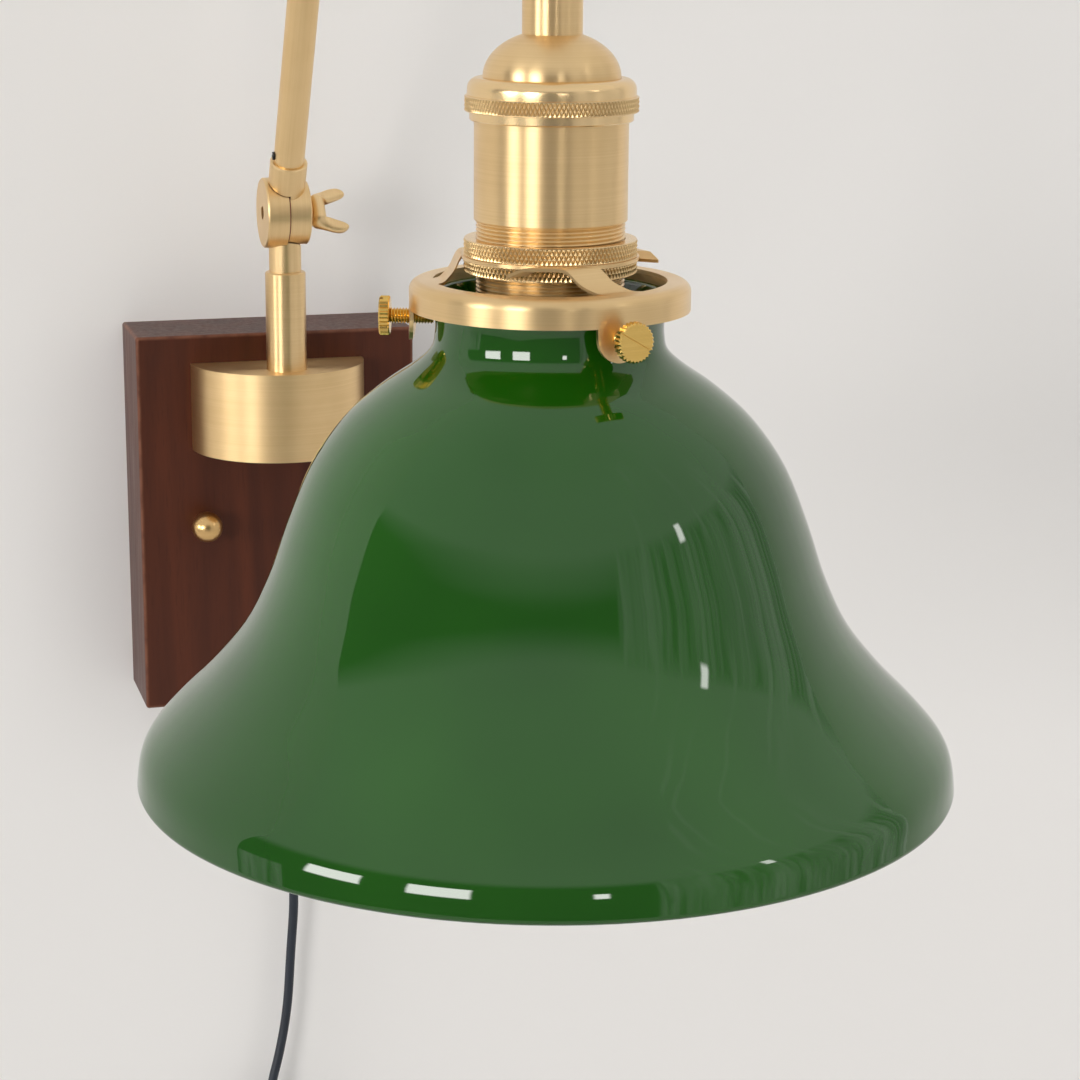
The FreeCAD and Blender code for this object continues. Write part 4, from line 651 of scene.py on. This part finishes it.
def piece(name, bm, body, slot, *nodes, crease=35.0, material=None):
    """Closes a bmesh and hangs it up, in place of the nodes that are named."""
    close(bm)
    open_edges = sum(edge.is_boundary for edge in bm.edges)
    obj = hang(name, finish_mesh(name, bm, crease), body, slot, nodes, material)
    print(f"{name}: {len(obj.data.polygons)} faces, {open_edges} open edges")
    return obj


def add_to(bm, other):
    """Moves all of another bmesh into this one."""
    mesh = bpy.data.meshes.new("other")
    other.to_mesh(mesh)
    other.free()
    bm.from_mesh(mesh)
    bpy.data.meshes.remove(mesh)


def cap(bm):
    """Closes the one opening that a bmesh has."""
    bmesh.ops.contextual_create(bm, geom=[edge for edge in bm.edges if edge.is_boundary])


print("closing tools ready")

# %% The lathe


def lathe(bm, points, steps, centre=LAMP, closed=True):
    """Spins a section of (radius, height) points in millimetres round an upright axis."""
    verts = [bm.verts.new((centre.x + r * MM, centre.y, z * MM)) for r, z in points]
    pairs = zip(verts, verts[1:] + (verts[:1] if closed else []))
    edges = [bm.edges.new(pair) for pair in pairs]
    bmesh.ops.spin(bm, geom=verts + edges, cent=centre, axis=Z_AXIS, angle=2 * pi, steps=steps,
                   dvec=(0, 0, 0), use_merge=True)


def lay_along(bm, at, direction):
    """Moves a mesh made round the upright axis at the origin to another place and axis."""
    way = direction.to_track_quat("Z", "Y").to_matrix().to_4x4()
    bmesh.ops.transform(bm, matrix=Matrix.Translation(at) @ way, verts=bm.verts)


def draw_to(bm, edges, radius, height, centre=LAMP):
    """Extrudes an open round edge to a circle of that radius and height, in millimetres."""
    new = bmesh.ops.extrude_edge_only(bm, edges=edges)["geom"]
    for vert in (g for g in new if isinstance(g, bmesh.types.BMVert)):
        flat = Vector((vert.co.x - centre.x, vert.co.y - centre.y, 0)).normalized() * radius * MM
        vert.co = Vector((centre.x, centre.y, height * MM)) + flat
    return [g for g in new if isinstance(g, bmesh.types.BMEdge) and g.is_boundary]


def open_edge_at(bm, height):
    """The open edges that lie at that height, in millimetres."""
    return [edge for edge in bm.edges
            if edge.is_boundary and all(abs(v.co.z - height * MM) < 2e-6 for v in edge.verts)]


def trim(bm, low, high):
    """Cuts off what lies below one height and above another, in millimetres."""
    for height, keep in ((low, {"clear_inner": True}), (high, {"clear_outer": True})):
        bmesh.ops.bisect_plane(bm, geom=bm.verts[:] + bm.edges[:] + bm.faces[:], dist=1e-7,
                               plane_co=(0, 0, height * MM), plane_no=Z_AXIS, **keep)


print("lathe ready")

# %% [markdown]
# ## Diamond knurling
# A knurling wheel presses two sets of slanting grooves into the brass and leaves rows of small
# pyramids. One pyramid has four triangles. A column of them, each half a step beside the one below,
# is spun round the axis as copies, and the band is trimmed at its two edges. That takes few faces,
# and the teeth catch the light as real ones do, which a bump map would not do at the outline.

# %% A knurled band
KNURL_RIM, KNURL_DEEP = 0.3, 0.38
RIM_STEP, RIM_EDGE, RIM_SLOPE = 0.03, 0.08, 0.12


def knurl(bm, root, tip, low, high, teeth, rows):
    """A band of pyramids from one height to another, as an open sleeve, in millimetres."""
    half, row = pi / teeth, (high - low) / rows

    def corner(radius, swing, height):
        return bm.verts.new((LAMP.x + cos(swing) * radius * MM, LAMP.y + sin(swing) * radius * MM,
                             height * MM))

    for k in range(-1, int(rows) + 3):
        shift, height = half * (k % 2), low + row * k
        top = corner(tip, shift, height)
        ring = [corner(root, shift - half, height), corner(root, shift, height - row),
                corner(root, shift + half, height), corner(root, shift, height + row)]
        for a, b in zip(ring, ring[1:] + ring[:1]):
            bm.faces.new((a, b, top))
    bmesh.ops.spin(bm, geom=bm.verts[:] + bm.edges[:] + bm.faces[:], cent=LAMP, axis=Z_AXIS,
                   angle=2 * pi * (teeth - 1) / teeth, steps=teeth - 1, dvec=(0, 0, 0),
                   use_duplicate=True)
    bmesh.ops.remove_doubles(bm, verts=bm.verts, dist=2e-6)
    trim(bm, low, high)


def knurled_ring(bm, outer, bore, low, high, teeth, rows):
    """A ring whose side is knurled between two thin plain rims."""
    band_low, band_high, rim_radius = low + KNURL_RIM, high - KNURL_RIM, outer - KNURL_DEEP / 2
    knurl(bm, outer - KNURL_DEEP, outer, band_low, band_high, teeth, rows)
    inner_edges = []
    for height, end, way in ((band_low, low, -1), (band_high, high, 1)):
        edges = open_edge_at(bm, height)
        edges = draw_to(bm, edges, rim_radius, height + way * RIM_STEP)
        edges = draw_to(bm, edges, rim_radius, end - way * RIM_EDGE)
        edges = draw_to(bm, edges, rim_radius - RIM_SLOPE, end)
        inner_edges += draw_to(bm, edges, bore, end)
    bmesh.ops.bridge_loops(bm, edges=inner_edges)


print("knurling ready")

# %% [markdown]
# ## The glass bell
# The bell was blown into a mould, so its section is one flowing line with no corner in it. The
# section is smoothed through its measured points, spun to an open skin, and given its wall by
# solidify. The rim and the lip are then bevelled round, as fire-polished glass is.

# %% Section of the bell
BELL_OUTLINE = [(106.6, 0.0), (104.9, 9.0), (98.6, 17.0), (88.0, 27.8), (78.2, 40.2), (71.6, 53.8),
                (66.8, 67.6), (60.6, 82.4), (52.2, 94.2), (43.0, 102.4), (34.6, 108.2), (30.1, 112.4),
                (29.0, 116.4), (29.0, 120.6), (29.7, 123.0), (30.6, 126.8)]
BELL_WALL, BELL_STEPS, RIM_ROUND = 3.0, 176, 1.35
bell_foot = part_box("glass_shade")[0].z / MM


def flowing(points, share):
    """More points on a smooth line through the given ones."""
    ends = [points[0]] + points + [points[-1]]
    line = []
    for before, a, b, after in zip(ends, ends[1:], ends[2:], ends[3:]):
        for k in range(share):
            t = k / share
            line.append(tuple(0.5 * (2 * q + (r - p) * t + (2 * p - 5 * q + 4 * r - s) * t * t
                                     + (3 * q - p - 3 * r + s) * t ** 3)
                              for p, q, r, s in zip(before, a, b, after)))
    return line + [points[-1]]


bell_line = [(r, z + bell_foot) for r, z in flowing(BELL_OUTLINE, 4)]
print(len(bell_line), "points in the bell's section")

# %% Spin the bell
bm = bmesh.new()
lathe(bm, bell_line, BELL_STEPS, closed=False)
close(bm)
bmesh.ops.solidify(bm, geom=bm.faces[:], thickness=BELL_WALL * MM)


def at_an_end(edge):
    """True for the four sharp round edges of the rim and the lip."""
    return len(edge.link_faces) == 2 and edge.calc_face_angle(0.0) > radians(60)


rims = [edge for edge in bm.edges if at_an_end(edge)]
bmesh.ops.bevel(bm, geom=rims, offset=RIM_ROUND * MM, offset_type="OFFSET", segments=5, profile=0.5,
                affect="EDGES", material=-1)
piece("green_glass_bell", bm, "arm", "green_glass", "glass_shade", crease=60)

# %% [markdown]
# ## The lampholder's shell and its thread
# The lower half of the shell is threaded, and the two ring nuts run on it. A real screw thread is
# a V-shaped ridge that climbs one pitch in each turn. So the V is spun with a small upward step:
# each turn then meets the one before, and they merge into one skin. The ends are cut level.

# %% Cut the thread
THREAD_PITCH, THREAD_DEEP, THREAD_STEPS, THREAD_LONG = 1.0, 0.5, 64, 21.0
SHELL_WALL, SHELL_STEP, SHELL_SLOPE, SHELL_EDGE = 1.35, 0.5, 0.35, 0.2
ROUND_STEPS = 128
shell_low, shell_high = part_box("socket_shell")
SHELL_OUT = (shell_high.x - shell_low.x) / 2 / MM
SHELL_IN, THREAD_OUT = SHELL_OUT - SHELL_WALL, SHELL_OUT - SHELL_STEP
SHELL_FOOT, SHELL_TOP = shell_low.z / MM, shell_high.z / MM
THREAD_END = SHELL_FOOT + THREAD_LONG


def threaded(bm, crest, pitch, deep, low, high, steps, centre=LAMP):
    """An open threaded sleeve between two heights, in millimetres."""
    ridge = [(crest - deep, 0.0), (crest - 0.1 * deep, 0.36), (crest, 0.44), (crest, 0.56),
             (crest - 0.1 * deep, 0.64), (crest - deep, 1.0)]
    start = low - 1.3 * pitch
    verts = [bm.verts.new((centre.x + r * MM, centre.y, (start + t * pitch) * MM)) for r, t in ridge]
    edges = [bm.edges.new(pair) for pair in zip(verts, verts[1:])]
    turns = int((high - low) / pitch) + 4
    bmesh.ops.spin(bm, geom=verts + edges, cent=centre, axis=Z_AXIS, angle=2 * pi * turns,
                   dvec=(0, 0, pitch * MM / steps), steps=steps * turns)
    bmesh.ops.remove_doubles(bm, verts=bm.verts, dist=2e-6)
    trim(bm, low, high)


def line_with_bore(bm, bore, low, high):
    """Closes an open sleeve with two level ends and a plain bore."""
    inner_edges = []
    for height in (low, high):
        inner_edges += draw_to(bm, open_edge_at(bm, height), bore, height)
    bmesh.ops.bridge_loops(bm, edges=inner_edges)


bm = bmesh.new()
threaded(bm, THREAD_OUT, THREAD_PITCH, THREAD_DEEP, SHELL_FOOT, THREAD_END, THREAD_STEPS)
line_with_bore(bm, SHELL_IN, SHELL_FOOT, THREAD_END)
bmesh.ops.recalc_face_normals(bm, faces=bm.faces)
lathe(bm, [(SHELL_IN, THREAD_END), (SHELL_OUT - SHELL_SLOPE, THREAD_END),
           (SHELL_OUT, THREAD_END + SHELL_SLOPE), (SHELL_OUT, SHELL_TOP - SHELL_EDGE),
           (SHELL_OUT - SHELL_EDGE, SHELL_TOP), (SHELL_IN, SHELL_TOP)], ROUND_STEPS)
piece("threaded_shell", bm, "arm", "satin_brass", "socket_shell")

# %% [markdown]
# ## The knurled collar and ring nuts
# The collar under the dome and both ring nuts are gripped by hand when the shade is changed, so
# they are knurled. They differ only in size, and one function makes all three bands.
#
# Hands keep the crests bright while the grooves grow dark. A mask for the grooves could come from
# the mesh's hollows, but each band is round, so the distance from the lamp's axis tells how deep
# a point lies. The mask stops at the plain rims, which are as bright as the crests.

# %% Brass with worn crests
WORN_ROUGH, GROOVE_BRASS, GROOVE_ROUGH = 0.24, (0.50, 0.33, 0.14), 0.40


def worn_knurl(slot, outer, low, high):
    """Brass for a ring of that radius with a knurled band between two rims, in millimetres."""
    graph, shader, position = finish(slot, SATIN, WORN_ROUGH, 1.0)
    off_axis = graph.add("VectorMath", operation="LENGTH")
    graph.join(graph.stretch(position, (1, 1, 0), moved=(-LAMP.x, -LAMP.y, 0)), off_axis.inputs[0])
    root, crest = (outer - KNURL_DEEP) * MM, (outer - KNURL_DEEP / 4) * MM
    deep = graph.ramp(off_axis.outputs["Value"], root, crest, 1.0, 0.0)
    upright = graph.add("SeparateXYZ")
    graph.join(position, upright.inputs[0])
    above = graph.math("GREATER_THAN", upright.outputs["Z"], (low + KNURL_RIM) * MM)
    below = graph.math("LESS_THAN", upright.outputs["Z"], (high - KNURL_RIM) * MM)
    groove = graph.math("MULTIPLY", deep, graph.math("MULTIPLY", above, below))
    graph.join(graph.mix(groove, SATIN, GROOVE_BRASS), shader.inputs["Base Color"])
    graph.join(graph.ramp(groove, 0.0, 1.0, WORN_ROUGH, GROOVE_ROUGH), shader.inputs["Roughness"])
    return finishes[slot]


print("worn knurl ready")

# %% Two ring nuts
NUT_TEETH, NUT_PLAY, UPPER_ROWS, LOWER_ROWS = 116, 0.05, 3.3, 2.4
for node, name, rows in (("upper_ring_nut", "knurled_nut_upper", UPPER_ROWS),
                         ("lower_ring_nut", "knurled_nut_lower", LOWER_ROWS)):
    low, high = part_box(node)
    radius, foot, top = (high.x - low.x) / 2 / MM, low.z / MM, high.z / MM
    bm = bmesh.new()
    knurled_ring(bm, radius, THREAD_OUT + NUT_PLAY, foot, top, NUT_TEETH, rows)
    piece(name, bm, "arm", "satin_brass", node, crease=25,
          material=worn_knurl(f"{name}_brass", radius, foot, top))

# %% Collar with its knurled band
COLLAR_TEETH, COLLAR_ROWS, COLLAR_ROUND, COLLAR_PLAY = 124, 3.0, 2.8, 0.02
MOUTH_R, LIP_EDGE = 17.2, 0.25
collar_low, collar_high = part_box("collar_ring")
TOP, LIP_FOOT = collar_high.z / MM, collar_low.z / MM
BAND_R, COLLAR_BORE = (collar_high.x - collar_low.x) / 2 / MM, SHELL_OUT + COLLAR_PLAY
COLLAR_R, LIP_R = BAND_R - 0.7, BAND_R - 1.3
BAND_TOP, FLANGE = TOP - 4.4, TOP - 1.5
BAND_FOOT = BAND_TOP - 3.9
corners = [k * pi / 16 for k in range(9)]
shoulder = [(COLLAR_R - COLLAR_ROUND * (1 - sin(swing)), TOP - COLLAR_ROUND * (1 - cos(swing)))
            for swing in corners]
bm = bmesh.new()
knurled_ring(bm, BAND_R, COLLAR_BORE, BAND_FOOT, BAND_TOP, COLLAR_TEETH, COLLAR_ROWS)
bmesh.ops.recalc_face_normals(bm, faces=bm.faces)
lathe(bm, [(MOUTH_R, FLANGE), (MOUTH_R, TOP)] + shoulder
      + [(COLLAR_R, BAND_TOP), (COLLAR_BORE, BAND_TOP), (COLLAR_BORE, FLANGE)], ROUND_STEPS)
lathe(bm, [(COLLAR_BORE, BAND_FOOT), (LIP_R, BAND_FOOT), (LIP_R, LIP_FOOT + LIP_EDGE),
           (LIP_R - LIP_EDGE, LIP_FOOT), (COLLAR_BORE, LIP_FOOT)], ROUND_STEPS)
piece("knurled_collar", bm, "arm", "satin_brass", "collar_ring", crease=25,
      material=worn_knurl("knurled_collar_brass", BAND_R, BAND_FOOT, BAND_TOP))

# %% [markdown]
# ## Thumb screws
# Three screws grip the neck of the glass. Each has a slotted head with a milled rim, so that both
# a finger and a coin can turn it, and a fine thread on its shank. The head is a toothed disc. Its
# slotted half is two D shapes, left when the middle of a second disc is cut away.

# %% Shapes for a slotted head
MILL_TEETH, MILL_DEEP, FOOT_EDGE, HEAD_EDGE = 30, 0.36, 0.3, 0.35


def toothed(bm, radius, height):
    """A flat disc with a milled outline."""
    made = bmesh.ops.create_circle(bm, cap_ends=True, segments=2 * MILL_TEETH, radius=radius * MM,
                                   matrix=Matrix.Translation((0, 0, height * MM)))
    for index, vert in enumerate(made["verts"]):
        if index % 2:
            vert.co.xy *= 1 - MILL_DEEP / radius


def raise_top(bm, height, shrink=0.0, beyond=0.0):
    """Extrudes the faces on top, and draws in the outline where it lies beyond a radius."""
    top = max(v.co.z for v in bm.verts)
    faces = [f for f in bm.faces if all(abs(v.co.z - top) < 1e-7 for v in f.verts)]
    new = bmesh.ops.extrude_face_region(bm, geom=faces)["geom"]
    bmesh.ops.delete(bm, geom=faces, context="FACES_ONLY")
    for vert in (g for g in new if isinstance(g, bmesh.types.BMVert)):
        vert.co.z += height * MM
        if vert.co.xy.length > beyond * MM:
            vert.co.xy *= 1 - shrink * MM / vert.co.xy.length


def slotted_head(bm, radius, thick, slot_wide, slot_deep):
    """A milled head that stands on the plane z = 0."""
    toothed(bm, radius - FOOT_EDGE, 0)
    raise_top(bm, FOOT_EDGE, -FOOT_EDGE)
    raise_top(bm, thick - slot_deep - FOOT_EDGE)
    cap(bm)
    for side in (1, -1):
        half = bmesh.new()
        toothed(half, radius, thick - slot_deep)
        bmesh.ops.bisect_plane(half, geom=half.verts[:] + half.edges[:] + half.faces[:], dist=1e-7,
                               plane_co=(0, side * slot_wide / 2 * MM, 0), plane_no=(0, side, 0),
                               clear_inner=True)
        raise_top(half, slot_deep - HEAD_EDGE)
        raise_top(half, HEAD_EDGE, HEAD_EDGE, radius * 0.75)
        cap(half)
        add_to(bm, half)


print("slotted head ready")

# %% Three thumb screws
THUMB_R, THUMB_THICK, THUMB_REST, THUMB_STEP = 5.0, 2.7, -30.0, 50.0
THUMB_REACH = 43.0      # head's face from the lamp's axis
SLOT_WIDE, SLOT_DEEP = 0.85, 1.0
SHANK_R, SHANK_CORE, SHANK_PITCH, SHANK_DEEP = 2.0, 1.5, 0.75, 0.42
SHANK_END, SHANK_TOP = -11.0, -0.02
for k in range(3):
    joint = JOINTS[f"thumb_screw_{k + 1}_turn"]
    out = Vector(joint["axis"]).normalized()
    centre = Vector((LAMP.x, LAMP.y, joint["pos_m"][2]))
    bm = bmesh.new()
    slotted_head(bm, THUMB_R, THUMB_THICK, SLOT_WIDE, SLOT_DEEP)
    bmesh.ops.recalc_face_normals(bm, faces=bm.faces)
    shank = bmesh.new()
    threaded(shank, SHANK_R, SHANK_PITCH, SHANK_DEEP, SHANK_END, SHANK_TOP, 24, ORIGIN)
    for height in (SHANK_END, SHANK_TOP):
        edges = draw_to(shank, open_edge_at(shank, height), SHANK_CORE, height, ORIGIN)
        bmesh.ops.contextual_create(shank, geom=edges)
    add_to(bm, shank)
    spun = Matrix.Rotation(radians(THUMB_REST + THUMB_STEP * k), 3, "Z")
    bmesh.ops.rotate(bm, cent=ORIGIN, matrix=spun, verts=bm.verts)
    lay_along(bm, centre + out * (THUMB_REACH - THUMB_THICK) * MM, out)
    piece(f"milled_screw_{k + 1}", bm, f"thumb_screw_{k + 1}", "polished_brass",
          f"thumb_screw_{k + 1}", crease=30)

# %% [markdown]
# ## The wing screw
# The wing screw at the knuckle is a casting, so it has no sharp edge anywhere. A rough cage of a
# hub and two ears, softened by a Subdivision Surface, gives that shape with very few faces. The
# ears are pulled out of the hub face by face.

# %% Cage of the wing screw
WING_TURN, WING_LEAN, WING_REACH = 38.0, 50.0, 14.8
HUB_R, HUB_LONG, HUB_EDGE = 5.0, 7.6, 0.4
EAR = [(5.2, 4.9, 7.0, 6.8), (8.2, 5.9, 4.4, 6.6), (11.0, 7.0, 4.1, 7.0), (13.4, 7.9, 3.9, 6.0),
       (14.9, 8.5, 2.8, 3.2)]       # out, up, width and height of each section
HUB_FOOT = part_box("wing_screw")[1].x / MM - WING_REACH


def pull(bm, face, to, wide, high, tilt):
    """Extrudes one face to a new middle, as a rectangle of that width and height."""
    new = bmesh.ops.extrude_face_region(bm, geom=[face])["geom"]
    bmesh.ops.delete(bm, geom=[face], context="FACES_ONLY")
    made = next(g for g in new if isinstance(g, bmesh.types.BMFace))
    side = Vector((-sin(tilt), 0, cos(tilt)))
    middle_now = made.calc_center_median()
    for vert in made.verts:
        off = vert.co - middle_now
        up = 1 if off.dot(side) > 0 else -1
        across = 1 if off.y > 0 else -1
        vert.co = Vector(to) * MM + side * up * high / 2 * MM + Y_AXIS * across * wide / 2 * MM
    return made


hub_size = Matrix.Diagonal(((HUB_LONG - 2 * HUB_EDGE) * MM, 2 * HUB_R * MM, 2 * HUB_R * MM, 1))
hub_place = Matrix.Translation(((HUB_LONG / 2 + HUB_EDGE) * MM, 0, 0))
bm = bmesh.new()
bmesh.ops.create_cube(bm, size=1.0, matrix=hub_place @ hub_size)
for way in (1, -1):
    face = max(bm.faces, key=lambda f: f.normal.z * way)
    for out, up, wide, high in EAR:
        face = pull(bm, face, (out, 0, way * up), wide, high, way * radians(WING_LEAN))
bmesh.ops.recalc_face_normals(bm, faces=bm.faces)
wing_seat = Vector((HUB_FOOT * MM, TILT.y, TILT.z))
bmesh.ops.rotate(bm, cent=ORIGIN, matrix=Matrix.Rotation(radians(-WING_TURN), 3, "X"), verts=bm.verts)
bmesh.ops.translate(bm, vec=wing_seat, verts=bm.verts)
wing = piece("cast_wing_screw", bm, "wing_screw", "satin_brass", "wing_screw", crease=180,
             material=finishes["satin_brass_sideways"])
soft = wing.modifiers.new("soft", "SUBSURF")
soft.levels = soft.render_levels = 3

# %% Its foot and its shank
SMALL_ROUND_STEPS = 48
shank_line = [(0, -8.9), (2.2, -8.9), (2.45, -8.6), (2.45, 0.0), (4.6, 0.0), (5.1, 0.5), (5.1, 1.3),
              (4.4, 1.8), (0, 1.8)]
bm = bmesh.new()
lathe(bm, shank_line, SMALL_ROUND_STEPS, ORIGIN, closed=False)
lay_along(bm, wing_seat, X_AXIS)
piece("wing_screw_shank", bm, "wing_screw", "satin_brass", material=finishes["satin_brass_sideways"])

# %% [markdown]
# ## Ball nuts
# Two polished balls hold the block on its bracket. Each was turned from bar, with a small foot
# that bears on the wood. A half circle and a foot, spun, give a ball with no facets.

# %% Turn the ball nuts
nut_low, nut_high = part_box("ball_nuts")
BALL_R, BALL_FOOT_R, BALL_FOOT_H = (nut_high.z - nut_low.z) / 2 / MM, 3.8, 1.4
BALL_STEPS = 24
ball_arc = pi - asin(BALL_FOOT_R / BALL_R)
ball_middle = (nut_high.y - nut_low.y) / MM - BALL_R
ball_line = [(0, 0), (BALL_FOOT_R, 0), (BALL_FOOT_R, BALL_FOOT_H)]
for k in range(1, BALL_STEPS + 1):
    swing = ball_arc - ball_arc * k / BALL_STEPS
    ball_line.append((BALL_R * sin(swing), ball_middle + BALL_R * cos(swing)))
for side in (-1, 1):
    bm = bmesh.new()
    lathe(bm, ball_line, SMALL_ROUND_STEPS, ORIGIN, closed=False)
    seat = Vector((side * (nut_high.x - BALL_R * MM), nut_high.y, (nut_high.z + nut_low.z) / 2))
    lay_along(bm, seat, -Y_AXIS)
    replaced = ("ball_nuts",) if side > 0 else ()
    piece(f"ball_nut_{'right' if side > 0 else 'left'}", bm, "base", "polished_brass", *replaced,
          material=finishes["worn_polished_brass"])

# %% [markdown]
# ## The hanging cord
# The route becomes one curve, and its own bevel makes it round. The same line, without a bevel,
# tells where the moulded sleeves follow the cord at the block, the switch and the plug.

# %% Make the two cords


def cord_curve(name, route, radius=CORD_THICK / 2):
    """A curve through a route in millimetres, round when it has a radius."""
    curve = bpy.data.curves.new(name, "CURVE")
    curve.dimensions = "3D"
    curve.resolution_u = 8
    curve.bevel_depth = radius * MM
    curve.bevel_resolution = 4
    curve.use_fill_caps = True
    spline = curve.splines.new("NURBS")
    spline.points.add(len(route) - 1)
    for point, place in zip(spline.points, route):
        point.co = (*(c * MM for c in place), 1)
    spline.order_u = 3
    spline.use_endpoint_u = True
    return curve


def run_of(route):
    """Points along a route's NURBS line, from a curve that has no bevel."""
    obj = bpy.data.objects.new("route", cord_curve("route", route, 0.0))
    mesh = bpy.data.meshes.new_from_object(obj)
    points = [v.co.copy() for v in mesh.vertices]
    bpy.data.objects.remove(obj)
    return points


def length_of(points):
    """The length of a run of points."""
    return sum((b - a).length for a, b in zip(points, points[1:]))


upper = hang("flex_upper", cord_curve("flex_upper", UPPER_ROUTE), "base", "cord_sheath", ("cord_upper",))
lower = hang("flex_lower", cord_curve("flex_lower", LOWER_ROUTE), "base", "cord_sheath",
             ("cord_middle", "cord_coil", "cord_tail"))
upper_run, lower_run = run_of(UPPER_ROUTE), run_of(LOWER_ROUTE)
print(f"upper {length_of(upper_run):.4f} m, lower {length_of(lower_run):.4f} m")

# %% [markdown]
# ### Strain reliefs
# Where a cord enters a housing, a soft tapered sleeve keeps it from kinking. Rings are set along
# the cord's line, thick at the housing and thin at the end, with grooves between the ribs, and
# each ring is bridged to the next.

# %% Sleeves along the cord
SLEEVE_END, SLEEVE_STEPS = 2.35, 28
RIB_RINGS, GROOVE_RINGS, GROOVE_DEEP, GROOVED_PART = 6, (2, 3), 0.45, (0.12, 0.97)


def stations_of(run):
    """Each point of a run with its distance along the run, in metres."""
    gone, last, stations = 0.0, run[0], []
    for here in run:
        gone += (here - last).length
        last = here
        stations.append((gone, here))
    return stations


def sleeve(name, run, reach, thick, ribs):
    """A ribbed, tapered sleeve round the first part of a run of points."""
    bm = bmesh.new()
    stations, last_loop, rings = stations_of(run), set(), ribs * RIB_RINGS
    for k in range(rings + 1):
        share = k / rings
        want = reach * MM * share
        (s0, p0), (s1, p1) = next((a, b) for a, b in zip(stations, stations[1:])
                                  if b[0] >= want - 1e-9 and b[0] > a[0])
        grooved = GROOVED_PART[0] < share < GROOVED_PART[1] and k % RIB_RINGS in GROOVE_RINGS
        radius = thick + (SLEEVE_END - thick) * share - (GROOVE_DEEP if grooved else 0.0)
        at = Matrix.Translation(p0.lerp(p1, (want - s0) / (s1 - s0)))
        way = (p1 - p0).to_track_quat("Z", "Y").to_matrix().to_4x4()
        made = bmesh.ops.create_circle(bm, cap_ends=k in (0, rings), segments=SLEEVE_STEPS,
                                       radius=radius * MM, matrix=at @ way)
        loop = {edge for vert in made["verts"] for edge in vert.link_edges}
        if last_loop:
            bmesh.ops.bridge_loops(bm, edges=list(loop | last_loop))
        last_loop = loop
    return piece(name, bm, "base", "black_plastic", crease=50)


sleeve("relief_block", upper_run, 20.0, 3.7, 4)
relief_switch_top = sleeve("relief_switch_top", upper_run[::-1], 12.0, 3.4, 3)
relief_switch_foot = sleeve("relief_switch_foot", lower_run, 12.0, 3.4, 3)
relief_plug = sleeve("relief_plug", lower_run[::-1], 20.0, 3.9, 5)

nodes = frame["nodes"]

# %% [markdown]
# ## Dress the CAD nodes
# Each node takes the finish of its slot in the record. The two halves of the knuckle and the bent
# arm take the brass whose lines run sideways, and the drum takes the drawn brass.

# %% Assign the finishes
finish_of = {part["node"]: part["material_slot"] for part in frame["record"]["subparts"]}
finish_of.update(dict.fromkeys(("knuckle_base", "knuckle_arm", "gooseneck_tube"), "satin_brass_sideways"))
finish_of["drum_cover"] = "satin_brass_drawn"
for node, obj in nodes.items():
    obj.data.materials.clear()
    obj.data.materials.append(finishes[finish_of[node]])
print(len(nodes), "nodes dressed")
